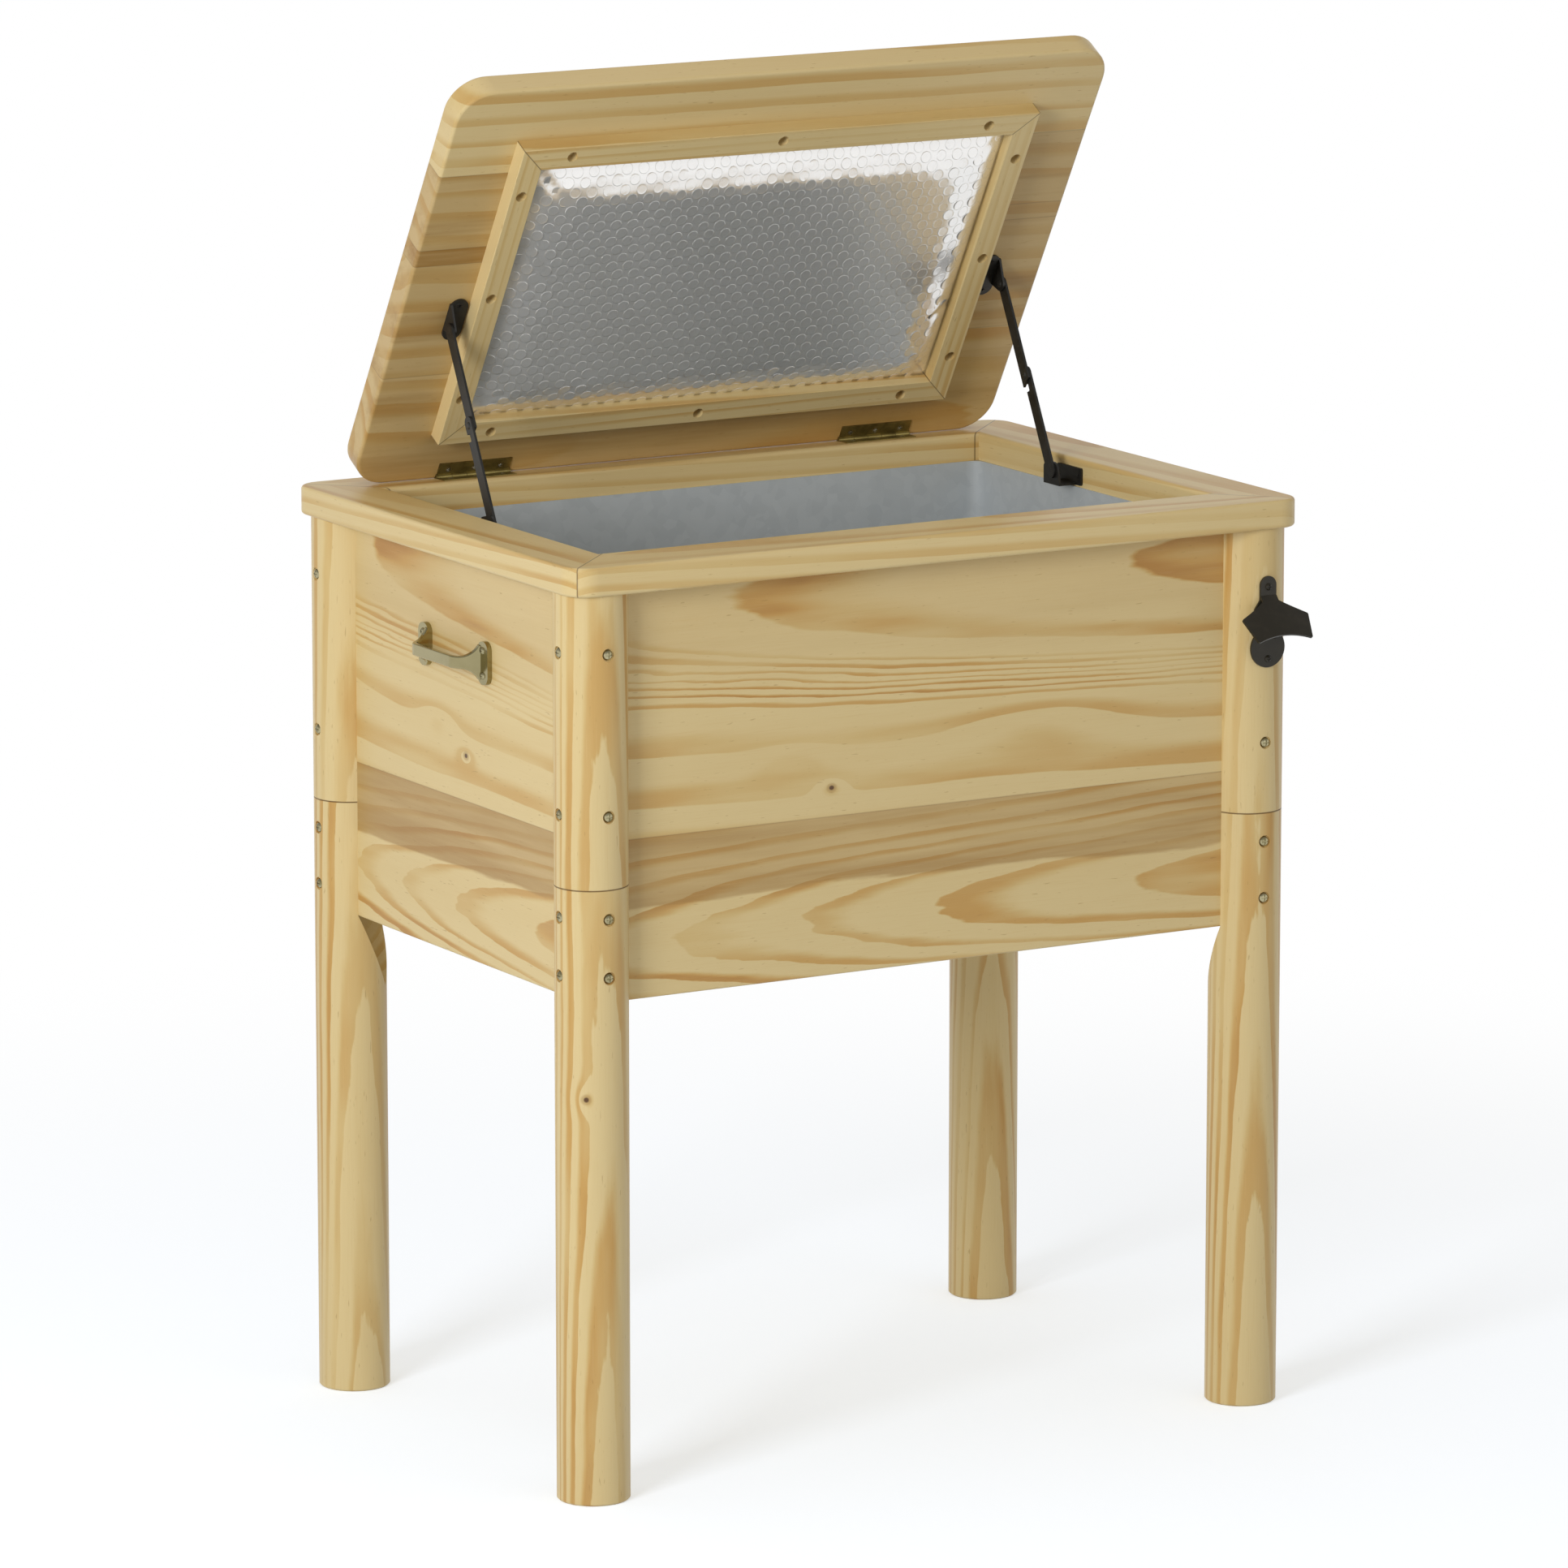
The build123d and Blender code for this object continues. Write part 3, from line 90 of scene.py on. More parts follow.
class Graph:
    """Adds nodes to one tree and joins them with little writing."""

    def __init__(self, tree: bpy.types.NodeTree) -> None:
        """Keeps the tree that the nodes go into."""
        self.tree = tree

    def node(self, kind: str, feeds: dict | None = None, **settings: object) -> bpy.types.Node:
        """Adds a node.

        Args:
            kind: Blender's name of the node type.
            feeds: what goes into its inputs, by their names or numbers.
            settings: properties to set on it.

        Returns:
            The new node.
        """
        made = self.tree.nodes.new(kind)
        for name, value in settings.items():
            setattr(made, name, value)
        for name, value in (feeds or {}).items():
            self.feed(made.inputs[name], value)
        return made

    def feed(self, socket: Socket, value: Value) -> None:
        """Links a socket to another socket, or writes a constant on it."""
        if isinstance(value, Socket):
            self.tree.links.new(value, socket)
        else:
            socket.default_value = value

    def math(self, operation: str, *values: Value) -> Socket:
        """Adds a Math node and returns its value."""
        return self.node("ShaderNodeMath", dict(enumerate(values)), operation=operation).outputs[0]

    def plus(self, first: Value, second: Value) -> Socket:
        """Returns the sum of two values."""
        return self.math("ADD", first, second)

    def minus(self, first: Value, second: Value) -> Socket:
        """Returns the first value less the second."""
        return self.math("SUBTRACT", first, second)

    def times(self, first: Value, second: Value) -> Socket:
        """Returns the product of two values."""
        return self.math("MULTIPLY", first, second)

    def scaled(self, value: Value, factor: Value, start: Value) -> Socket:
        """Returns the value times a factor, added to a start."""
        return self.math("MULTIPLY_ADD", value, factor, start)

    def length(self, first: Value, second: Value) -> Socket:
        """Returns the length of a line with two square parts."""
        return self.math("SQRT", self.plus(self.times(first, first), self.times(second, second)))

    def vector(self, operation: str, *values: Value) -> Socket:
        """Adds a Vector Math node and returns its vector."""
        return self.node("ShaderNodeVectorMath", dict(enumerate(values)), operation=operation).outputs[0]

    def dot(self, vector: Value, direction: tuple) -> Socket:
        """Adds a dot product and returns its value."""
        feeds = {0: vector, 1: direction}
        return self.node("ShaderNodeVectorMath", feeds, operation="DOT_PRODUCT").outputs["Value"]

    def split(self, vector: Value) -> list[Socket]:
        """Returns a vector's three parts."""
        return list(self.node("ShaderNodeSeparateXYZ", {0: vector}).outputs)

    def join(self, x: Value, y: Value, z: Value) -> Socket:
        """Returns a vector of three parts."""
        return self.node("ShaderNodeCombineXYZ", {0: x, 1: y, 2: z}).outputs[0]

    def noise(self, vector: Value, scale: float, detail: float = 2.0, roughness: float = 0.5) -> Socket:
        """Adds a noise texture.

        Args:
            vector: where it is read.
            scale: its size, in waves per unit.
            detail: how many finer layers it has.
            roughness: how strong the finer layers are.

        Returns:
            Its value, about 0.5 in the middle.
        """
        feeds = {"Vector": vector, "Scale": scale, "Detail": detail, "Roughness": roughness}
        return self.node("ShaderNodeTexNoise", feeds).outputs[0]

    def chance(self, value: Value) -> Socket:
        """Returns a number from 0 to 1 that changes at random with the value."""
        return self.node("ShaderNodeTexWhiteNoise", {"W": value}, noise_dimensions="1D").outputs["Value"]

    def ramp(self, value: Value, stops: Sequence[tuple[float, tuple]]) -> Socket:
        """Adds a colour ramp with these places and colours, and returns its colour."""
        made = self.node("ShaderNodeValToRGB", {0: value})
        elements = made.color_ramp.elements
        while len(elements) < len(stops):
            elements.new(1.0)
        for element, (place, colour) in zip(elements, stops):
            element.position = place
            element.color = colour
        return made.outputs[0]

    def rise(self, value: Value, low: Value, high: Value) -> Socket:
        """Returns 0 below low and 1 above high, eased between them. It falls where low is the higher."""
        feeds = {"Value": value, "From Min": low, "From Max": high}
        return self.node("ShaderNodeMapRange", feeds, interpolation_type="SMOOTHSTEP").outputs[0]

    def mix(self, share: Value, low: Value, high: Value) -> Socket:
        """Mixes two colours. The share is how much of the second one there is."""
        feeds = {"Factor": share, "A": low, "B": high}
        return self.node("ShaderNodeMix", feeds, data_type="RGBA").outputs["Result"]

    def bump(self, height: Value, distance: float, strength: float) -> Socket:
        """Turns a height from 0 to 1 into a normal. A height of 1 is the distance, in metres."""
        feeds = {"Height": height, "Distance": distance, "Strength": strength}
        return self.node("ShaderNodeBump", feeds).outputs["Normal"]

    def merge(self, *parts: Socket) -> Socket:
        """Returns several geometries as one."""
        made = self.node("GeometryNodeJoinGeometry")
        for part in parts:
            self.feed(made.inputs[0], part)
        return made.outputs[0]


@dataclass(frozen=True)
class Gloss:
    """The constants of a surface's shader."""

    roughness: float = 0.45
    metallic: float = 0.0
    coat: float = 0.0
    coat_roughness: float = 0.2
    specular: float = 0.5


def surface(name: str, gloss: Gloss, paint: Callable[[Graph, Value], tuple]) -> bpy.types.Material:
    """Makes a material from a function that paints it.

    Args:
        name: the material's name.
        gloss: its shader's constants.
        paint: takes the graph and the object coordinates, and returns colour, roughness or None, and
            normal or None.

    Returns:
        The material.
    """
    material = bpy.data.materials.new(name)
    material.use_nodes = True
    material.node_tree.nodes.clear()
    graph = Graph(material.node_tree)
    shader = graph.node("ShaderNodeBsdfPrincipled", {
        "Metallic": gloss.metallic, "Roughness": gloss.roughness, "Coat Weight": gloss.coat,
        "Coat Roughness": gloss.coat_roughness, "Specular IOR Level": gloss.specular})
    graph.node("ShaderNodeOutputMaterial", {"Surface": shader.outputs[0]})
    place = graph.node("ShaderNodeTexCoord").outputs["Object"]
    colour, roughness, normal = paint(graph, place)
    graph.feed(shader.inputs["Base Color"], colour)
    if roughness is not None:
        graph.feed(shader.inputs["Roughness"], roughness)
    if normal is not None:
        graph.feed(shader.inputs["Normal"], normal)
    return material


@dataclass(frozen=True)
class Swirl:
    """A soft hump in the wood's rings, which shows as an oval or an arch."""

    along: float
    across: float
    length: float
    height: float
    rings: float


@dataclass(frozen=True)
class Knot:
    """A small knot, with a dark heart and rings that bend round it."""

    along: float
    across: float
    radius: float


@dataclass(frozen=True)
class Stain:
    """A brown band across the grain's direction, with soft uneven edges."""

    low: float
    high: float
    share: float
    soft: float = 0.0018
    sway: float = 0.022


@dataclass(frozen=True)
class Plank:
    """How one board was cut from its tree, and how strong its colours are.

    The rings crowd by the number in crowd between the distances near and far from the pith.
    """

    pith_across: float
    pith_through: float
    ring: float = 0.012
    tilt: float = 0.03
    waver: float = 0.010
    amber: float = 0.8
    brown: float = 0.0
    crowd: float = 0.0
    near: float = 0.0
    far: float = 0.15
    seed: float = 0.0


@dataclass(frozen=True)
class Seam:
    """A thin dark line where two pieces meet, on the plane through a point."""

    point: tuple[float, float, float]
    normal: tuple[float, float, float]
    half_width: float = 0.0004


@dataclass(frozen=True)
class Waves:
    """A noise stretched along the grain: its waves per metre along and across, and its finer layers."""

    along: float
    across: float
    detail: float
    roughness: float

    def read(self, graph: Graph, place: Value) -> Socket:
        """Returns the noise at a place in the board."""
        stretched = graph.vector("MULTIPLY", place, (self.along, self.across, self.across))
        return graph.noise(stretched, 1.0, self.detail, self.roughness)


@dataclass(frozen=True)
class Layer:
    """A layer of colour that rises with a value from low to high, or falls where low is the higher."""

    low: float
    high: float
    share: float = 1.0

    def over(self, graph: Graph, value: Value) -> Socket:
        """Returns how much of the layer shows at a value."""
        return graph.times(graph.rise(value, self.low, self.high), self.share)


@dataclass(frozen=True)
class Pine:
    """Varnished pine: the colours and the figure that every board shares.

    Each year has a pale early part and a darker late band. The band starts at a share of the year, and
    it is richer in some years than in others. A span is what a value from 0 to 1 is multiplied by, and
    what is then added.
    """

    bright: tuple = srgb(234, 213, 164)
    pale: tuple = srgb(224, 201, 147)
    straw: tuple = srgb(216, 188, 128)
    amber: tuple = srgb(203, 160, 90)
    deep: tuple = srgb(184, 134, 66)
    brown: tuple = srgb(162, 122, 62)
    heart: tuple = srgb(92, 62, 34)
    gloss: Gloss = Gloss(roughness=0.42, coat=0.12, coat_roughness=0.28, specular=0.4)

    wander: tuple[tuple[Waves, float], ...] = (
        (Waves(1.5, 7.0, 2.0, 0.45), 3.0), (Waves(7.0, 60.0, 2.0, 0.5), 0.6),
        (Waves(24.0, 120.0, 3.0, 0.6), 0.22))
    seed_shift: tuple[float, float, float] = (3.1, 1.7, 1.0)
    start_span: tuple[float, float] = (0.3, 0.3)
    band_rise: float = 0.34
    band_end: Layer = Layer(1.0, 0.965)
    rich_span: tuple[float, float] = (0.6, 0.55)
    rich_seed: float = 0.37
    patches: Waves = Waves(2.6, 18.0, 3.0, 0.55)
    patch: Layer = Layer(0.3, 0.62)
    stripe_span: tuple[float, float] = (0.85, 0.14)
    straw_place: float = 0.28
    amber_place: float = 0.72

    wash: Waves = Waves(1.8, 26.0, 4.0, 0.62)
    veil: Layer = Layer(0.42, 0.74)
    veil_share: float = 0.3
    brown_span: tuple[float, float] = (0.6, 0.5)
    cloud: Layer = Layer(0.3, 0.7)
    cloud_span: tuple[float, float] = (0.5, 0.42)

    fibre: Waves = Waves(26.0, 1100.0, 2.0, 0.6)
    dark_fibre: Layer = Layer(0.5, 0.85, 0.16)
    light_fibre: Layer = Layer(0.45, 0.2, 0.12)
    flecks: Waves = Waves(90.0, 620.0, 1.0, 0.5)
    fleck: Layer = Layer(0.7, 0.8, 0.4)

    knot_length: float = 3.2
    knot_height: float = 1.8
    knot_rings: float = 0.8
    core_height: float = 0.8
    halo: Layer = Layer(0.1, 0.5, 0.45)
    core: Layer = Layer(0.6, 0.9)
    joint: Layer = Layer(0.0009, 0.0001, 0.25)
    seam: Layer = Layer(1.6, 0.5, 0.7)
    sheen: Waves = Waves(18.0, 700.0, 2.0, 0.6)
    sheen_spread: float = 0.14
    relief: tuple[float, float] = (0.00012, 0.5)

    def sway(self, graph: Graph, place: Value) -> Socket:
        """Returns how far the rings wander at a place, as a multiple of the board's waver."""
        total: Value = 0.0
        for waves, reach in self.wander:
            off = graph.minus(waves.read(graph, place), NOISE_MIDDLE)
            total = graph.scaled(off, reach, total)
        return total

    def hump(self, graph: Graph, along: Value, across: Value, swirl: Swirl) -> Socket:
        """Returns a bell of the swirl's size round its place on the board's face."""
        a = graph.math("DIVIDE", graph.minus(along, swirl.along), swirl.length)
        b = graph.math("DIVIDE", graph.minus(across, swirl.across), swirl.height)
        spread = graph.plus(graph.times(a, a), graph.times(b, b))
        return graph.times(graph.math("EXPONENT", graph.times(spread, -1.0)), swirl.rings)

    def years(
        self, graph: Graph, local: Value, sway: Value, plank: Lookup, swirls: Sequence[Swirl]
    ) -> Socket:
        """Counts the years from the pith to a place, whose fraction is the place within the year.

        The rings wander by the sway times the board's waver, and rise over the swirls.
        """
        along, across, through = graph.split(local)
        side = graph.minus(across, plank("pith_across"))
        deep = graph.scaled(along, plank("tilt"), graph.minus(through, plank("pith_through")))
        reach = graph.scaled(sway, plank("waver"), graph.length(side, deep))
        turns = graph.math("DIVIDE", reach, plank("ring"))
        turns = graph.scaled(graph.rise(reach, plank("near"), plank("far")), plank("crowd"), turns)
        for swirl in swirls:
            turns = graph.plus(turns, self.hump(graph, along, across, swirl))
        return turns

    def stripe(self, graph: Graph, turns: Value, place: Value, plank: Lookup) -> Socket:
        """Returns how dark the year's late band is, 0 to 1, from the years and the shifted place."""
        share = graph.math("FRACT", turns)
        year = graph.plus(graph.math("FLOOR", turns), plank("seed"))
        start = graph.scaled(graph.chance(year), *self.start_span)
        rising = graph.rise(share, start, graph.plus(start, self.band_rise))
        band = graph.times(rising, self.band_end.over(graph, share))
        rich = graph.scaled(graph.chance(graph.plus(year, self.rich_seed)), *self.rich_span)
        patch = self.patch.over(graph, self.patches.read(graph, place))
        strength = graph.times(graph.times(patch, rich), plank("amber"))
        return graph.times(band, graph.scaled(strength, *self.stripe_span))

    def staining(
        self, graph: Graph, across: Value, sway: Value, wash: Value, whole: Value, stains: Sequence[Stain]
    ) -> Socket:
        """Returns how brown the board is, 0 to 1.

        The whole board has a share of brown, thicker in the veil of its wash, and each stain adds its own.
        """
        total = graph.times(whole, graph.scaled(self.veil.over(graph, wash), *self.brown_span))
        cloud = graph.scaled(self.cloud.over(graph, wash), *self.cloud_span)
        for mark in stains:
            edge = graph.scaled(sway, mark.sway, across)
            above = graph.rise(edge, mark.low - mark.soft, mark.low + mark.soft)
            inside = graph.times(above, graph.math("LESS_THAN", across, mark.high))
            total = graph.scaled(graph.times(inside, cloud), mark.share, total)
        return graph.math("MINIMUM", total, 1.0)

    def figure(
        self, graph: Graph, local: Value, plank: Lookup, swirls: Sequence[Swirl], knots: Sequence[Knot],
        stains: Sequence[Stain]
    ) -> Socket:
        """Paints rings, stains, fibres and knots.

        Args:
            graph: where the nodes go.
            local: the place in the board, as along, across and through, in metres.
            plank: gives the named value of the board at that place.
            swirls: soft humps in the rings.
            knots: the knots.
            stains: brown bands.

        Returns:
            The board's colour.
        """
        along, across, _ = graph.split(local)
        seed = plank("seed")
        shifts = (graph.times(seed, shift) for shift in self.seed_shift)
        place = graph.vector("ADD", local, graph.join(*shifts))
        sway = self.sway(graph, place)
        bends = [
            Swirl(
                knot.along, knot.across, knot.radius * self.knot_length, knot.radius * self.knot_height,
                self.knot_rings)
            for knot in knots
        ]
        turns = self.years(graph, local, sway, plank, (*swirls, *bends))
        colour = graph.ramp(self.stripe(graph, turns, place, plank), (
            (0.0, self.pale), (self.straw_place, self.straw), (self.amber_place, self.amber),
            (1.0, self.deep)))
        wash = self.wash.read(graph, place)
        colour = graph.mix(graph.times(self.veil.over(graph, wash), self.veil_share), colour, self.straw)
        brown = self.staining(graph, across, sway, wash, plank("brown"), stains)
        colour = graph.mix(brown, colour, self.brown)
        fibre = self.fibre.read(graph, place)
        colour = graph.mix(self.dark_fibre.over(graph, fibre), colour, self.amber)
        colour = graph.mix(self.light_fibre.over(graph, fibre), colour, self.bright)
        fleck = self.fleck.over(graph, self.flecks.read(graph, place))
        colour = graph.mix(fleck, colour, self.brown)
        if not knots:
            return colour
        core: Value = 0.0
        for knot in knots:
            middle = Swirl(knot.along, knot.across, knot.radius, knot.radius * self.core_height, 1.0)
            core = graph.math("MAXIMUM", core, self.hump(graph, along, across, middle))
        colour = graph.mix(self.halo.over(graph, core), colour, self.brown)
        return graph.mix(self.core.over(graph, core), colour, self.heart)

    def material(
        self, name: str, grain: Grain, planks: Sequence[Plank], joints: Sequence[float] = (),
        seams: Sequence[Seam] = (), swirls: Sequence[Swirl] = (), knots: Sequence[Knot] = (),
        stains: Sequence[Stain] = (), turn: tuple[Vector, float] | None = None,
    ) -> bpy.types.Material:
        """Makes the material of a board, or of a panel glued from several.

        Args:
            name: the material's name.
            grain: the way the grain runs.
            planks: the boards, from low to high across the face.
            joints: the places across the face where one board meets the next.
            seams: dark lines where pieces meet.
            swirls: soft humps in the rings.
            knots: the knots.
            stains: brown bands.
            turn: a point and a slope about X, where the board isn't square to the frame.

        Returns:
            The material.
        """
        def paint(graph: Graph, place: Value) -> tuple:
            """Paints the boards one beside the other."""
            inner = place
            if turn is not None:
                inner = graph.node("ShaderNodeMapping", {
                    "Vector": place, "Location": turn[0], "Rotation": (turn[1], 0, 0),
                }, vector_type="TEXTURE").outputs[0]
            parts = graph.split(inner)
            local = graph.join(*(parts[axis] for axis in grain.value))
            across = parts[grain.value[1]]
            steps = [graph.math("GREATER_THAN", across, joint) for joint in joints]

            def plank(value: str) -> Value:
                """Gives a board's value at the place, from the joints below it."""
                numbers = [getattr(board, value) for board in planks]
                total: Value = numbers[0]
                for step, low, high in zip(steps, numbers, numbers[1:]):
                    if high != low:
                        total = graph.scaled(step, high - low, total)
                return total

            colour = self.figure(graph, local, plank, swirls, knots, stains)
            for joint in joints:
                away = graph.math("ABSOLUTE", graph.minus(across, joint))
                colour = graph.mix(self.joint.over(graph, away), colour, self.heart)
            for seam in seams:
                off = graph.dot(graph.vector("SUBTRACT", place, seam.point), seam.normal)
                away = graph.math("DIVIDE", graph.math("ABSOLUTE", off), seam.half_width)
                colour = graph.mix(self.seam.over(graph, away), colour, self.heart)
            grainy = self.sheen.read(graph, local)
            least = self.gloss.roughness - self.sheen_spread * NOISE_MIDDLE
            rough = graph.scaled(grainy, self.sheen_spread, least)
            return colour, rough, graph.bump(grainy, *self.relief)

        return surface(name, self.gloss, paint)


@dataclass(frozen=True)
class Metal:
    """A metal or other plain finish: two tones, clouds, and fine grain in the sheen."""

    name: str
    base: tuple
    worn: tuple
    gloss: Gloss
    cloud: float = 40.0
    scratch: float = 0.0
    grain: float = 900.0
    bump: float = 0.00002
    wear: Layer = Layer(0.4, 0.72)
    cloud_spread: float = 0.14
    grain_spread: float = 0.06
    bump_share: float = 0.6

    def material(self) -> bpy.types.Material:
        """Makes the finish's material."""
        def paint(graph: Graph, place: Value) -> tuple:
            """Paints clouds of the two tones, and fine grain in the sheen."""
            clouds = graph.noise(place, self.cloud, 4.0, 0.6)
            drawn = graph.vector("MULTIPLY", place, (1.0, 1.0, 1.0 + self.scratch))
            fine = graph.noise(drawn, self.grain, 2.0, 0.6)
            colour = graph.mix(self.wear.over(graph, clouds), self.base, self.worn)
            least = self.gloss.roughness - (self.cloud_spread + self.grain_spread) * NOISE_MIDDLE
            rough = graph.scaled(clouds, self.cloud_spread, least)
            rough = graph.scaled(fine, self.grain_spread, rough)
            return colour, rough, graph.bump(fine, self.bump, self.bump_share)

        return surface(self.name, self.gloss, paint)


@dataclass(frozen=True)
class Zinc:
    """Spangled sheet metal, pale blue-grey."""

    name: str = "zinc_sheet"
    pale: tuple = srgb(208, 214, 218)
    dark: tuple = srgb(190, 197, 202)
    gloss: Gloss = Gloss(roughness=0.4, metallic=0.3)
    crystals: float = 110.0
    crystal_share: float = 0.4
    clouds: float = 14.0
    sheen_spread: float = 0.08

    def material(self) -> bpy.types.Material:
        """Makes the sheet's material."""
        def paint(graph: Graph, place: Value) -> tuple:
            """Paints crystals of slightly different tones."""
            cells = graph.node("ShaderNodeTexVoronoi", {"Vector": place, "Scale": self.crystals})
            tone = graph.split(cells.outputs["Color"])[0]
            clouds = graph.times(graph.noise(place, self.clouds, 3.0), 1.0 - self.crystal_share)
            share = graph.scaled(tone, self.crystal_share, clouds)
            rough = graph.scaled(tone, self.sheen_spread, self.gloss.roughness)
            return graph.mix(share, self.dark, self.pale), rough, None

        return surface(self.name, self.gloss, paint)


@dataclass(frozen=True)
class Foil:
    """Crinkled foil over a pad: silver, with soft clouds."""

    name: str = "foil_face"
    pale: tuple = srgb(252, 251, 250)
    dark: tuple = srgb(250, 249, 247)
    gloss: Gloss = Gloss(roughness=0.17, metallic=0.74)
    clouds: float = 12.0
    cloud: Layer = Layer(0.35, 0.7)
    sheen_spread: float = 0.10
    crinkle: float = 130.0
    relief: tuple[float, float] = (0.0001, 0.25)

    def material(self) -> bpy.types.Material:
        """Makes the foil's material."""
        def paint(graph: Graph, place: Value) -> tuple:
            """Paints clouds and a fine crinkle."""
            clouds = graph.noise(place, self.clouds, 3.0, 0.55)
            crinkle = graph.noise(place, self.crinkle, 4.0, 0.65)
            colour = graph.mix(self.cloud.over(graph, clouds), self.dark, self.pale)
            rough = graph.scaled(clouds, self.sheen_spread, self.gloss.roughness)
            return colour, rough, graph.bump(crinkle, *self.relief)

        return surface(self.name, self.gloss, paint)


BRASS = Metal(
    "champagne_brass", srgb(164, 155, 118), srgb(150, 141, 104), Gloss(0.17, 1.0), cloud=14.0, bump=0.000008)
HINGE_BRASS = Metal(
    "olive_brass", srgb(158, 142, 84), srgb(122, 108, 60), Gloss(0.36, 0.8), cloud=60.0, scratch=8.0)
FRAME_BRASS = Metal("frame_brass", srgb(118, 98, 62), srgb(82, 66, 40), Gloss(0.4, 0.9), cloud=160.0)
SCREW_BRASS = Metal("screw_brass", srgb(178, 170, 136), srgb(132, 122, 84), Gloss(0.3, 1.0), cloud=160.0)
SCREW_STEEL = Metal("screw_steel", srgb(212, 210, 200), srgb(168, 164, 150), Gloss(0.28, 1.0), cloud=160.0)
BLACK_STAY = Metal("stay_black", srgb(38, 37, 35), srgb(50, 49, 46), Gloss(0.42, 0.3), cloud=50.0)
BLACK_RIVET = Metal("rivet_black", srgb(46, 45, 43), srgb(64, 62, 58), Gloss(0.34, 0.5), cloud=120.0)
BLACK_OPENER = Metal(
    "opener_black", srgb(40, 36, 26), srgb(48, 43, 33), Gloss(0.36, 0.0, specular=0.34), cloud=60.0,
    grain=1400.0)
FOAM = Metal(
    "foam_white", srgb(226, 224, 216), srgb(208, 205, 196), Gloss(0.85, 0.0, specular=0.2), cloud=90.0,
    grain=600.0, bump=0.0003)
PLASTIC = Metal("drain_white", srgb(214, 214, 210), srgb(198, 198, 194), Gloss(0.4, 0.0), grain=1200.0)


def dress(node: str, material: bpy.types.Material) -> None:
    """Gives a CAD node a material in place of its own."""
    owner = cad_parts[node]
    owner.data.materials.clear()
    owner.data.materials.append(material)
    log.info("dressed %s with %s", node, material.name)


@dataclass(frozen=True)
class Side:
    """What differs from one panel of the box to the next.

    The face is its place on the axis through it, and inwards is the way from there into the box.
    """

    name: str
    grain: Grain
    face: float
    inwards: int
    tilt: float
    seed: float
    blob: tuple[float, float]
    knot: tuple[float, float]


@dataclass
class Box:
    """The panels, the floor and the legs."""

    pine: Pine
    board_joint: float = 0.561
    stain_foot: float = 0.500
    rim_stain: Stain = Stain(0.700, 0.790, 0.22, 0.02, 0.03)
    knot_radius: float = 0.0045
    seam_height: float = 0.5255
    leg_x: float = 0.322
    leg_y: float = 0.216
    leg_pith: tuple[float, float] = (0.006, 0.045)
    leg_knot: Knot = Knot(0.349, -0.341, 0.004)
    sides: tuple[Side, ...] = (
        Side("front_panel", Grain.ALONG_X_ACROSS_Z, -0.224, 1, 0.09, 0.0, (-0.134, 0.6095), (-0.096, 0.5855)),
        Side("left_panel", Grain.ALONG_Y_ACROSS_Z, -0.330, 1, -0.11, 0.0, (0.036, 0.622), (-0.013, 0.600)),
        Side("back_panel", Grain.ALONG_X_ACROSS_Z, 0.224, -1, 0.08, 2.0, (0.110, 0.640), (0.170, 0.615)),
        Side("right_panel", Grain.ALONG_Y_ACROSS_Z, 0.330, -1, -0.10, 3.0, (-0.050, 0.630), (0.060, 0.590)),
    )

    def panel(self, side: Side) -> bpy.types.Material:
        """Makes a panel's material: two boards, a brown band under their joint, swirls and a knot."""
        low = Plank(
            0.474, side.face + side.inwards * 0.045, ring=0.030, tilt=side.inwards * side.tilt,
            waver=0.009, amber=0.95, crowd=4.0, near=0.02, far=0.11, seed=4.0 + side.seed)
        top = Plank(
            0.748, side.face + side.inwards * 0.055, ring=0.036, tilt=side.inwards * side.tilt,
            waver=0.008, amber=0.95, crowd=6.0, near=0.078, far=0.118, seed=1.0 + side.seed)
        along, across = side.blob
        return self.pine.material(
            side.name, side.grain, (low, top), (self.board_joint,),
            swirls=(
                Swirl(along, across, 0.032, 0.014, 0.62),
                Swirl(along + 0.245, across + 0.012, 0.085, 0.024, 0.6)),
            knots=(Knot(*side.knot, self.knot_radius),),
            stains=(Stain(self.stain_foot, self.board_joint, 0.82), self.rim_stain))

    def leg(self, half: str, corner: str, x: int, y: int, seed: float, tilt: float) -> bpy.types.Material:
        """Makes the material of one half of the leg at a corner, whose signs are x and y."""
        plank = Plank(
            x * self.leg_x + self.leg_pith[0], y * self.leg_y + self.leg_pith[1], ring=0.0062, tilt=tilt,
            waver=0.005, amber=0.85, seed=seed)
        knots = (self.leg_knot,) if (half, corner) == ("lower_leg", "front_left") else ()
        seam = Seam((0, 0, self.seam_height), (0, 0, 1), 0.0006)
        return self.pine.material(f"{half}_{corner}", Grain.ALONG_Z, [plank], seams=(seam,), knots=knots)

    def dress(self) -> None:
        """Gives every board and leg its figure."""
        for side in self.sides:
            dress(side.name, self.panel(side))
        for name, pith, seed in (("floor_board", 0.0, 7.0), ("floor_cleats", 0.1, 8.0)):
            dress(name, self.pine.material(name, Grain.ALONG_X_ACROSS_Y, [Plank(pith, 0.5, seed=seed)]))
        for step, (corner, x, y) in enumerate((
            ("front_left", -1, -1), ("front_right", 1, -1), ("back_left", -1, 1), ("back_right", 1, 1),
        )):
            for half, shift in (("upper_post", 0.0), ("lower_leg", 0.4)):
                material = self.leg(half, corner, x, y, 11.0 + step + shift, 0.012 + 0.006 * step)
                dress(f"{half}_{corner}", material)


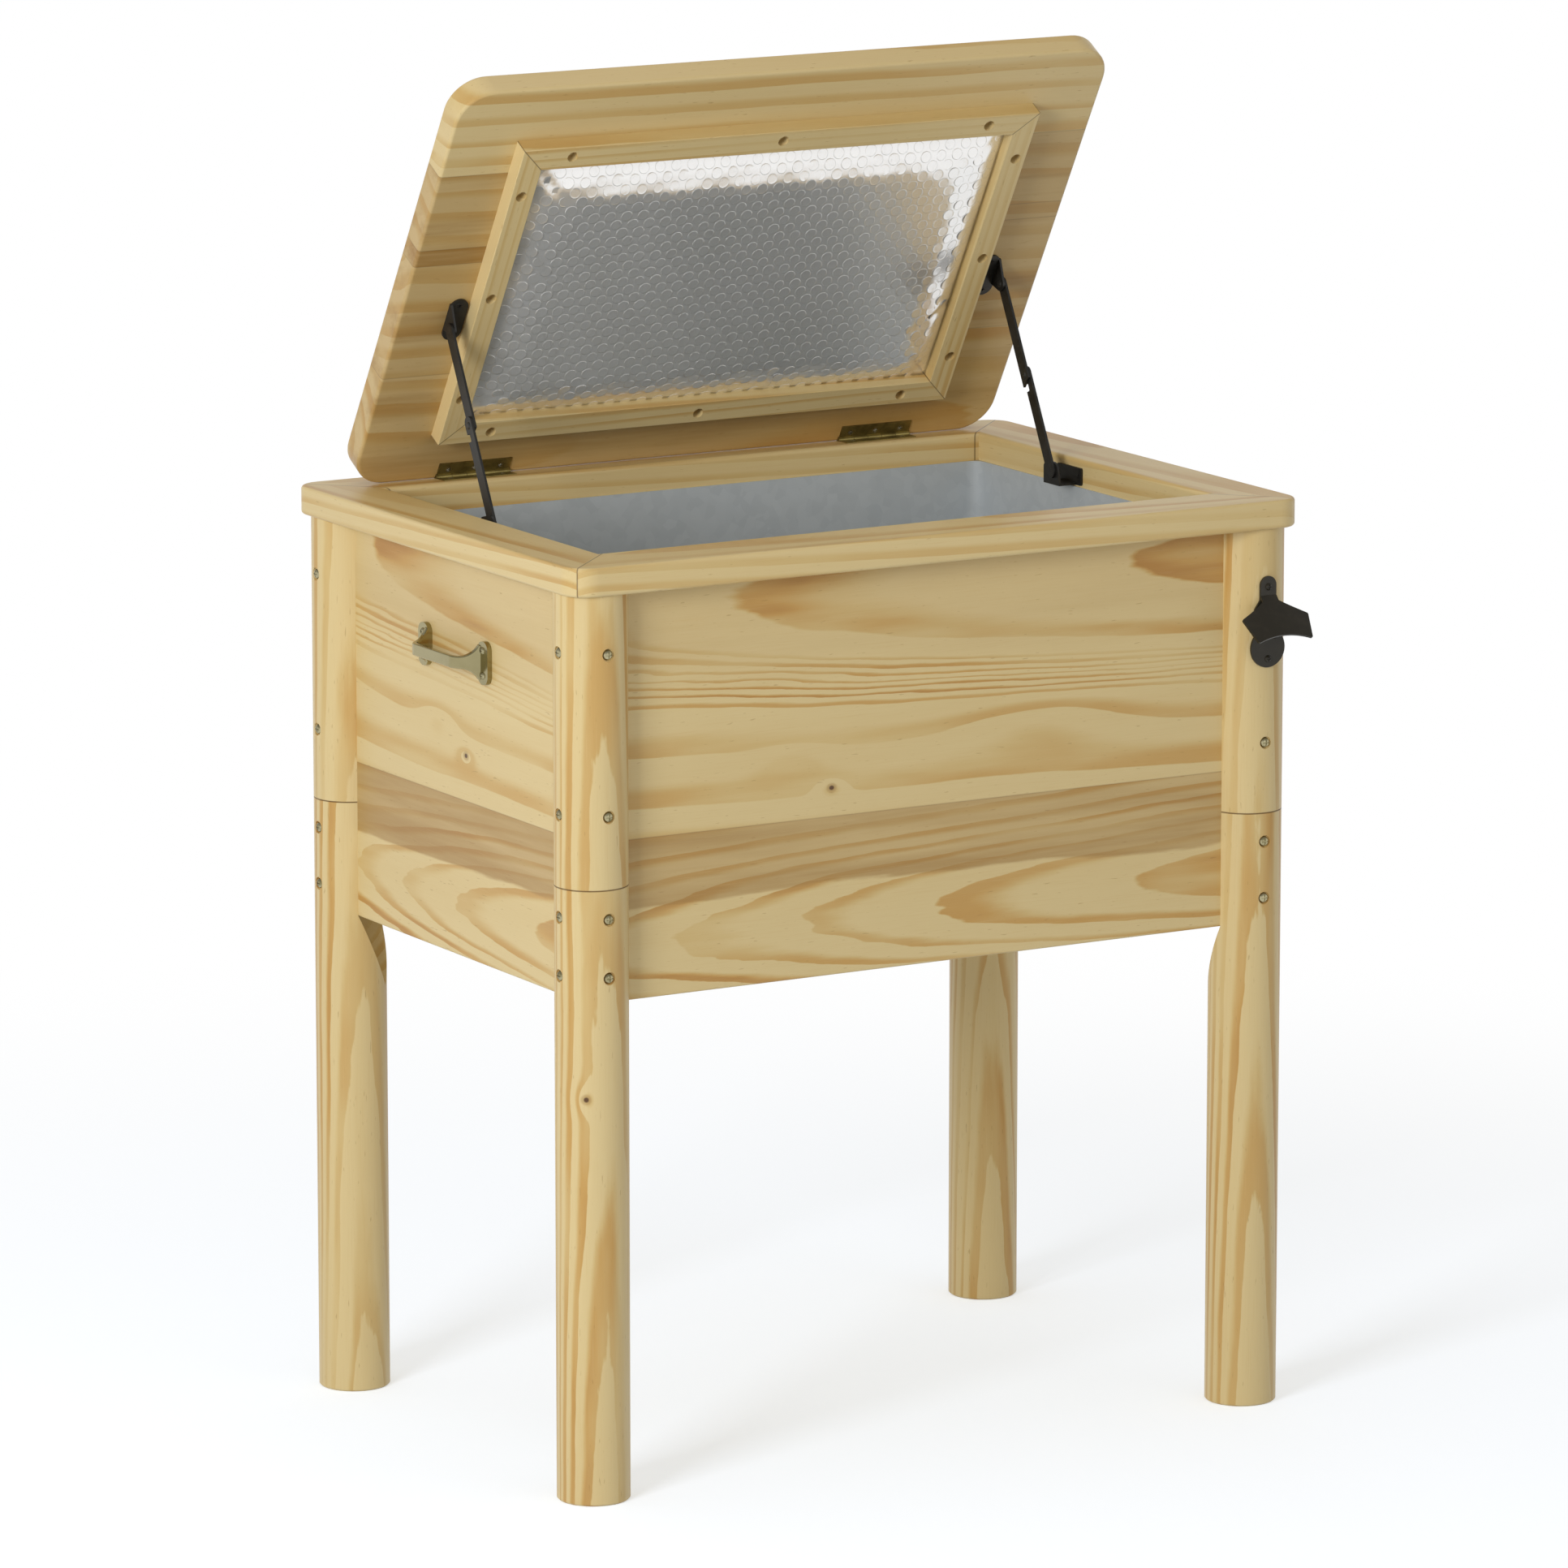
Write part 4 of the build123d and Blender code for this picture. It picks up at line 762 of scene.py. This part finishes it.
@dataclass
class Rim:
    """The mitred rim and its dowels."""

    pine: Pine
    half_x: float = 0.3567
    half_y: float = 0.2516

    def dress(self) -> None:
        """Gives the four boards their figure and their mitre lines."""
        shorter = self.half_x - self.half_y
        for step, (name, grain) in enumerate((
            ("rim_front", Grain.ALONG_X_ACROSS_Y), ("rim_right", Grain.ALONG_Y_ACROSS_X),
            ("rim_back", Grain.ALONG_X_ACROSS_Y), ("rim_left", Grain.ALONG_Y_ACROSS_X),
        )):
            corners = (((-1, -1), (1, -1)), ((1, -1), (1, 1)), ((1, 1), (-1, 1)), ((-1, 1), (-1, -1)))[step]
            seams = tuple(
                Seam((x * shorter, 0, 0), (x * DIAGONAL, -y * DIAGONAL, 0), 0.0005) for x, y in corners)
            centre = (-0.22, 0.33, 0.22, -0.33)[step]
            plank = Plank(
                centre + 0.02, 0.86, ring=0.012, tilt=0.03, waver=0.004, amber=0.6, seed=21.0 + step)
            dress(name, self.pine.material(name, grain, [plank], seams=seams))
        dress("rim_dowels", self.pine.material("rim_dowels", Grain.ALONG_Z, [Plank(0.0, 0.1, seed=27.0)]))


@dataclass
class Lid:
    """The lid's board and the frame of bars under it."""

    pine: Pine
    frame_half_x: float = 0.2545
    frame_rear: float = 0.0476
    frame_front: float = 0.3632

    def mitre(self, side: int, end: int) -> Seam:
        """Returns the mitre line of the frame's corner, from its side (x) and its end (rear or front)."""
        cosine, sine = math.cos(LID_SLOPE), math.sin(LID_SLOPE)
        reach = self.frame_front if end > 0 else self.frame_rear
        point = (side * self.frame_half_x, HINGE.y - reach * cosine, HINGE.z + reach * sine)
        return Seam(point, (side * DIAGONAL, end * cosine * DIAGONAL, -end * sine * DIAGONAL))

    def dress(self) -> None:
        """Gives the lid's board its strips and the bars their grain."""
        turn = (HINGE, -LID_SLOPE)
        strips = [
            Plank(pith, 0.07, ring=0.021, tilt=tilt, waver=0.006, amber=amber, brown=brown, seed=31.0 + step)
            for step, (pith, tilt, amber, brown) in enumerate((
                (-0.62, 0.05, 0.55, 0.08), (-0.20, -0.06, 0.55, 0.86), (-0.30, 0.03, 0.6, 1.0),
                (-0.28, 0.05, 0.55, 0.80), (-0.02, -0.05, 0.7, 0.66)))
        ]
        dress("lid_board", self.pine.material(
            "lid_board", Grain.ALONG_X_ACROSS_Y, strips, (-0.33, -0.252, -0.235, -0.115), turn=turn))
        for step, (name, grain) in enumerate((
            ("frame_bar_front", Grain.ALONG_X_ACROSS_Y), ("frame_bar_right", Grain.ALONG_Y_ACROSS_X),
            ("frame_bar_rear", Grain.ALONG_X_ACROSS_Y), ("frame_bar_left", Grain.ALONG_Y_ACROSS_X),
        )):
            plank = Plank(0.05, 0.08, ring=0.009, tilt=0.02, waver=0.003, amber=0.5, seed=41.0 + step)
            corners = (((-1, 1), (1, 1)), ((1, 1), (1, -1)), ((1, -1), (-1, -1)), ((-1, -1), (-1, 1)))[step]
            dress(name, self.pine.material(
                name, grain, [plank], seams=tuple(self.mitre(*corner) for corner in corners), turn=turn))


@dataclass
class FoilPad:
    """The stuffed foil pad in the lid's frame, with its sheet of bubbles."""

    half_x: float = 0.2319
    rear: float = 0.0702
    front: float = 0.3408
    underside: float = 0.00085
    edge: float = 0.004
    border: float = 0.040
    profile: tuple[tuple[float, float], ...] = ((0.0, 0.0), (0.018, 0.0080), (0.033, 0.0120), (0.040, 0.0128))
    corner: float = 0.013
    step: float = 0.004
    back: float = 0.0002
    waves: tuple[tuple[float, float, float, float], ...] = (
        (31.0, 17.0, 0.0, 1.0), (13.0, -43.0, 1.3, 1.0), (71.0, 29.0, 0.4, 0.6))
    wave_height: float = 0.0002
    ripple: tuple[float, float, float, float] = (95.0, 0.7, 83.0, 0.2)
    ripple_height: float = 0.0006
    crease_middle: float = 0.4
    crease_reach: float = 0.75
    crease_width: float = 0.0035
    ridge_place: float = 0.006
    ridge_width: float = 0.004
    ridge_share: float = 0.4
    least_share: float = 0.8
    pitch_along: float = 0.016
    pitch_across: float = 0.009
    bubble_radius: float = 0.0054
    bubble_height: float = 0.00008
    bubble_sizes: tuple[float, float] = (0.92, 1.06)
    lip_start: float = 0.88
    dish_split: float = -0.01
    sunk_share: float = 0.9
    side_margin: float = 0.006
    end_margin: float = 0.005
    ray_start: float = 0.05
    ray_length: float = 0.08
    creases: tuple[tuple[float, float, float, float, float], ...] = (
        (0.228, 0.150, 0.186, 0.128, 0.0022), (0.226, 0.332, 0.196, 0.306, 0.0012),
        (-0.226, 0.332, -0.200, 0.304, 0.0012), (-0.226, 0.080, -0.196, 0.104, 0.0010),
        (0.226, 0.078, 0.200, 0.102, 0.0012), (-0.150, 0.078, -0.128, 0.112, 0.0008),
        (-0.212, 0.250, -0.190, 0.226, 0.0008), (0.060, 0.074, 0.072, 0.108, 0.0008),
    )

    def height(self, x: np.ndarray, v: np.ndarray) -> np.ndarray:
        """How far the pad's face stands below the lid.

        Args:
            x: places along the lid.
            v: places away from the hinge.

        Returns:
            The heights in metres.
        """
        side = self.half_x - np.abs(x)
        end = np.minimum(v - self.rear, self.front - v)
        inset = -self.corner * np.log(np.exp(-side / self.corner) + np.exp(-end / self.corner))
        inset = np.clip(inset + self.corner * 0.1, 0, None)
        share = np.clip(inset / self.border, 0, 1)
        face = self.edge + np.interp(inset, *zip(*self.profile))
        for along, away, phase, strength in self.waves:
            face = face + self.wave_height * strength * share * np.sin(x * along + v * away + phase)
        along, along_phase, away, away_phase = self.ripple
        ripple = np.sin(x * along + along_phase) * np.sin(v * away + away_phase)
        face = face + self.ripple_height * ripple * share * (1 - share) * 4
        for x0, v0, x1, v1, depth in self.creases:
            run = np.array((x1 - x0, v1 - v0))
            length = float(np.hypot(*run))
            t = ((x - x0) * run[0] + (v - v0) * run[1]) / length ** 2
            off = ((x - x0) * run[1] - (v - v0) * run[0]) / length
            fade = depth * np.clip(1 - np.abs(t - self.crease_middle) / self.crease_reach, 0, 1)
            groove = np.exp(-(off / self.crease_width) ** 2)
            ridge = np.exp(-((off - self.ridge_place) / self.ridge_width) ** 2)
            face = face + fade * (self.ridge_share * ridge - groove)
        return np.maximum(face, self.edge * self.least_share)

    def place(self, x: np.ndarray, v: np.ndarray, below: np.ndarray) -> np.ndarray:
        """Turns places on the lid's underside into the frame's points."""
        c, s = math.cos(LID_SLOPE), math.sin(LID_SLOPE)
        rise = self.underside - below
        return np.stack((x, HINGE.y - v * c + rise * s, HINGE.z + v * s + rise * c), -1)

    def pillow(self) -> bpy.types.Object:
        """Builds the closed skin of the pad."""
        columns = round(2 * self.half_x / self.step) + 1
        rows = round((self.front - self.rear) / self.step) + 1
        x, v = np.meshgrid(
            np.linspace(-self.half_x, self.half_x, columns), np.linspace(self.rear, self.front, rows))
        top = self.place(x, v, self.height(x, v)).reshape(-1, 3)
        back = self.place(x, v, np.full_like(x, self.back)).reshape(-1, 3)
        count = len(top)
        index = np.arange(count).reshape(rows, columns)
        quads = np.stack((index[:-1, :-1], index[:-1, 1:], index[1:, 1:], index[1:, :-1]), -1).reshape(-1, 4)
        faces = [tuple(map(int, quad)) for quad in quads]
        faces += [tuple(int(n) + count for n in quad[::-1]) for quad in quads]
        ring = np.concatenate((index[0, :-1], index[:-1, -1], index[-1, :0:-1], index[:0:-1, 0]))
        for a, b in zip(ring, np.roll(ring, -1)):
            faces.append((int(b), int(a), int(a) + count, int(b) + count))
        mesh = bpy.data.meshes.new("foil_cover")
        mesh.from_pydata(np.concatenate((top, back)).tolist(), [], faces)
        mesh.update()
        cover = bpy.data.objects.new("foil_cover", mesh)
        bpy.context.scene.collection.objects.link(cover)
        return cover

    def lattice(self, graph: Graph, given: bpy.types.NodeOutputs) -> Socket:
        """Lays two staggered grids of points in front of the pad, and returns them."""
        middle = self.place(np.array(0.0), np.array((self.rear + self.front) / 2), np.array(self.ray_start))
        step_x, step_y = given["Pitch along"], graph.times(given["Pitch across"], 2.0)
        count_x = graph.math("FLOOR", graph.math("DIVIDE", given["Length"], step_x))
        count_y = graph.math("FLOOR", graph.math("DIVIDE", given["Width"], step_y))
        rows = []
        for shift in (0.0, 0.5):
            grid = graph.node("GeometryNodeMeshGrid", {
                "Vertices X": graph.plus(count_x, 1.0), "Vertices Y": graph.plus(count_y, 1.0),
                "Size X": graph.times(count_x, step_x), "Size Y": graph.times(count_y, step_y)})
            rows.append(graph.node("GeometryNodeTransform", {
                "Geometry": grid.outputs["Mesh"],
                "Translation": graph.join(graph.times(step_x, shift), graph.times(step_y, shift), 0.0),
            }).outputs[0])
        return graph.node("GeometryNodeTransform", {
            "Geometry": graph.merge(*rows), "Translation": tuple(float(n) for n in middle),
            "Rotation": (-LID_SLOPE, 0, 0)}).outputs[0]

    def dish(self, graph: Graph, given: bpy.types.NodeOutputs) -> Socket:
        """Flattens a ball to a shallow closed dish with a raised lip, and returns it."""
        ball = graph.node("GeometryNodeMeshUVSphere", {"Segments": 12, "Rings": 8, "Radius": 1.0})
        x, y, z = graph.split(graph.node("GeometryNodeInputPosition").outputs[0])
        raised = graph.rise(graph.length(x, y), self.lip_start, 1.0)
        lip = graph.scaled(raised, given["Height"], given["Height"])
        upper = graph.times(graph.math("GREATER_THAN", z, self.dish_split), lip)
        level = graph.minus(upper, graph.times(given["Height"], self.sunk_share))
        flat = graph.join(graph.times(x, given["Radius"]), graph.times(y, given["Radius"]), level)
        return graph.node(
            "GeometryNodeSetPosition", {"Geometry": ball.outputs[0], "Position": flat}).outputs[0]

    def bubbles(self, material: bpy.types.Material) -> bpy.types.NodeTree:
        """Makes the tree of nodes that sets rows of shallow dishes, the bubbles' lids, on the skin."""
        tree = bpy.data.node_groups.new("foil_bubbles", "GeometryNodeTree")
        tree.interface.new_socket("Geometry", in_out="INPUT", socket_type="NodeSocketGeometry")
        for name in ("Length", "Width", "Pitch along", "Pitch across", "Radius", "Height"):
            tree.interface.new_socket(name, in_out="INPUT", socket_type="NodeSocketFloat")
        tree.interface.new_socket("Geometry", in_out="OUTPUT", socket_type="NodeSocketGeometry")
        graph = Graph(tree)
        given = graph.node("NodeGroupInput").outputs
        cast = graph.node("GeometryNodeRaycast", {
            "Target Geometry": given["Geometry"], "Ray Length": self.ray_length,
            "Ray Direction": (0, math.sin(LID_SLOPE), math.cos(LID_SLOPE))})
        kept = graph.node("GeometryNodeCaptureAttribute", {0: self.lattice(graph, given)})
        for name, kind in (("VECTOR", "place"), ("VECTOR", "normal"), ("FLOAT", "hit")):
            kept.capture_items.new(name, kind)
        for slot, name in enumerate(("Hit Position", "Hit Normal", "Is Hit"), 1):
            graph.feed(kept.inputs[slot], cast.outputs[name])
        points, place, normal, hit = kept.outputs[:4]
        met = graph.node("GeometryNodeSetPosition", {"Geometry": points, "Position": place})
        facing = graph.node("FunctionNodeAlignRotationToVector", {"Vector": normal}, axis="Z")
        least, most = self.bubble_sizes
        size = graph.node("FunctionNodeRandomValue", {2: least, 3: most, "Seed": 5}, data_type="FLOAT")
        copies = graph.node("GeometryNodeInstanceOnPoints", {
            "Points": met.outputs[0], "Selection": hit, "Instance": self.dish(graph, given),
            "Rotation": facing.outputs[0], "Scale": size.outputs[1]})
        real = graph.node("GeometryNodeRealizeInstances", {0: copies.outputs[0]})
        both = graph.merge(given["Geometry"], real.outputs[0])
        smooth = graph.node("GeometryNodeSetShadeSmooth", {0: both})
        painted = graph.node("GeometryNodeSetMaterial", {"Geometry": smooth.outputs[0], "Material": material})
        graph.node("NodeGroupOutput", {0: painted.outputs[0]})
        return tree

    def build(self) -> None:
        """Builds the pad in place of the CAD's plain one. It rides on the lid."""
        cover = self.pillow()
        modifier = cover.modifiers.new("bubbles", "NODES")
        modifier.node_group = self.bubbles(Foil().material())
        values = (
            2 * (self.half_x - self.side_margin), self.front - self.rear - 2 * self.end_margin,
            self.pitch_along, self.pitch_across, self.bubble_radius, self.bubble_height)
        sockets = [item for item in modifier.node_group.interface.items_tree if item.in_out == "INPUT"][1:]
        for socket, value in zip(sockets, values):
            modifier[socket.identifier] = value
        ready = cover.evaluated_get(bpy.context.evaluated_depsgraph_get())
        mesh = bpy.data.meshes.new_from_object(ready)
        mesh.name = "foil_pad_cover"
        bpy.data.objects.remove(cover)
        pad = bpy.data.objects.new("foil_pad_cover", mesh)
        bpy.context.scene.collection.objects.link(pad)
        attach(pad, "lid")
        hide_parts("foil_pad")
        log.info("built foil_pad_cover with %d faces", len(mesh.polygons))


@dataclass
class Fittings:
    """The tub, the drain, the hinges, stays, handles, opener and screws."""

    def pair(self, *names: str) -> tuple[str, ...]:
        """Returns the names of pieces that stand on both sides."""
        return tuple(f"{name}_{side}" for name in names for side in ("left", "right"))

    def dress(self) -> None:
        """Gives every metal and plastic node its finish."""
        for material, nodes in (
            (Zinc().material(), ("liner_tub",)),
            (FOAM.material(), ("foam_jacket",)),
            (PLASTIC.material(), ("drain_spout", "drain_nut", "drain_cap")),
            (BRASS.material(), self.pair("handle")),
            (SCREW_BRASS.material(), ("leg_screws", "handle_screws")),
            (FRAME_BRASS.material(), ("frame_screws",)),
            (HINGE_BRASS.material(), (*self.pair("hinge_rim_leaf", "hinge_lid_leaf"), "hinge_pins")),
            (SCREW_STEEL.material(), ("hinge_rim_screws", "hinge_lid_screws")),
            (BLACK_OPENER.material(), ("bottle_opener", "opener_screws")),
            (BLACK_RIVET.material(), (
                "stay_rim_rivets", "stay_lid_rivets", "stay_rim_screws", "stay_lid_screws",
                *self.pair("stay_elbow_lower_half", "stay_elbow_upper_half"))),
            (BLACK_STAY.material(), self.pair(
                "stay_rim_bracket", "stay_lower_link", "stay_upper_link", "stay_lid_bracket")),
        ):
            for node in nodes:
                dress(node, material)


@dataclass
class Studio:
    """The floor, the lights and the camera."""

    eye: tuple[float, float, float] = (-4.07093, -6.99487, 2.15125)
    yaw: float = -30.1245
    pitch: float = 90 - 11.2557
    lens: float = 219.4
    lamps: tuple[tuple[str, tuple, float, float, Reach], ...] = (
        ("key", (-3.4, -1.9, 1.7), 1.2, 73.0, Reach.SHADING),
        ("glint", (-3.4, -1.9, 1.7), 1.2, 12.0, Reach.REFLECTIONS),
        ("fill", (1.2, -3.0, 1.6), 2.0, 4.0, Reach.BOTH),
        ("top", (0.0, 0.4, 3.0), 2.0, 6.0, Reach.BOTH),
    )
    aim: tuple[float, float, float] = (0.0, 0.0, 0.6)
    sky: float = 0.45
    sky_colour: tuple = (1.0, 0.93, 0.80, 1.0)
    overhead: float = 0.6
    overhead_edges: tuple[float, float] = (0.12, 0.6)
    floor_half: float = 60.0
    floor_colour: tuple = (0.72, 0.80, 0.94, 1.0)
    floor_glow: float = 0.50
    fade: tuple[float, float] = (0.5, 1.9)

    def build(self) -> None:
        """Makes the floor, the lights, the world and the camera."""
        self.floor()
        for name, place, size, power, reach in self.lamps:
            self.lamp(name, Vector(place), size, power, reach)
        self.world()
        camera = bpy.data.objects.new("camera", bpy.data.cameras.new("camera"))
        bpy.context.scene.collection.objects.link(camera)
        camera.location = self.eye
        camera.rotation_euler = (math.radians(self.pitch), 0, math.radians(self.yaw))
        camera.data.lens = self.lens
        camera.data.sensor_width = 36.0
        camera.data.clip_end = 200.0
        bpy.context.scene.camera = camera
        bpy.context.scene.view_settings.view_transform = "Standard"

    def floor(self) -> None:
        """Makes a wide pale floor that fades to white away from the object."""
        mesh = bpy.data.meshes.new("floor")
        wide = self.floor_half
        mesh.from_pydata(
            [(-wide, -wide, 0), (wide, -wide, 0), (wide, wide, 0), (-wide, wide, 0)], [], [(0, 1, 2, 3)])
        floor = bpy.data.objects.new("floor", mesh)
        bpy.context.scene.collection.objects.link(floor)
        material = bpy.data.materials.new("floor")
        material.use_nodes = True
        material.node_tree.nodes.clear()
        graph = Graph(material.node_tree)
        seen = graph.node("ShaderNodeLightPath").outputs
        rays = graph.math("MAXIMUM", seen["Is Camera Ray"], seen["Is Glossy Ray"])
        place = graph.node("ShaderNodeTexCoord").outputs["Object"]
        away = graph.node("ShaderNodeVectorMath", {0: place}, operation="LENGTH").outputs["Value"]
        plain = graph.node("ShaderNodeBsdfDiffuse", {"Color": self.floor_colour})
        lift = graph.node("ShaderNodeEmission", {"Strength": graph.times(rays, self.floor_glow)})
        lit = graph.node("ShaderNodeAddShader", {0: plain.outputs[0], 1: lift.outputs[0]})
        blend = graph.node("ShaderNodeMixShader", {
            0: graph.times(graph.rise(away, *self.fade), rays), 1: lit.outputs[0],
            2: graph.node("ShaderNodeEmission").outputs[0]})
        graph.node("ShaderNodeOutputMaterial", {"Surface": blend.outputs[0]})
        mesh.materials.append(material)

    def lamp(self, name: str, place: Vector, size: float, power: float, reach: Reach) -> None:
        """Makes one soft square lamp that points at the cooler.

        Args:
            name: the lamp's name.
            place: where it hangs.
            size: its side in metres.
            power: its power in watts.
            reach: what it lights.
        """
        data = bpy.data.lights.new(name, "AREA")
        data.energy, data.size = power, size
        lamp = bpy.data.objects.new(name, data)
        bpy.context.scene.collection.objects.link(lamp)
        lamp.location = place
        lamp.rotation_euler = (Vector(self.aim) - place).to_track_quat("-Z", "Y").to_euler()
        lamp.visible_diffuse = reach is not Reach.REFLECTIONS
        lamp.visible_glossy = reach is not Reach.SHADING

    def world(self) -> None:
        """Makes a plain sky that looks white, and reflects dimmer high up."""
        world = bpy.data.worlds.new("world")
        bpy.context.scene.world = world
        world.use_nodes = True
        world.node_tree.nodes.clear()
        graph = Graph(world.node_tree)
        seen = graph.node("ShaderNodeLightPath").outputs
        height = graph.split(graph.node("ShaderNodeTexCoord").outputs["Generated"])[2]
        shade = graph.times(graph.rise(height, *self.overhead_edges), seen["Is Glossy Ray"])
        light = graph.node("ShaderNodeBackground", {"Color": self.sky_colour, "Strength": self.sky})
        white = graph.node("ShaderNodeBackground", {
            "Color": (1, 1, 1, 1), "Strength": graph.scaled(shade, -self.overhead, 1.0)})
        rays = graph.math("MAXIMUM", seen["Is Camera Ray"], seen["Is Glossy Ray"])
        rays = graph.math("MAXIMUM", rays, seen["Is Transmission Ray"])
        blend = graph.node("ShaderNodeMixShader", {0: rays, 1: light.outputs[0], 2: white.outputs[0]})
        graph.node("ShaderNodeOutputWorld", {"Surface": blend.outputs[0]})


def main() -> None:
    """Dresses the cooler and sets the stage."""
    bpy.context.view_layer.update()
    pine = Pine()
    for group in (Box(pine), Rim(pine), Lid(pine), Fittings()):
        group.dress()
    FoilPad().build()
    Studio().build()


if __name__ == "__main__":
    main()
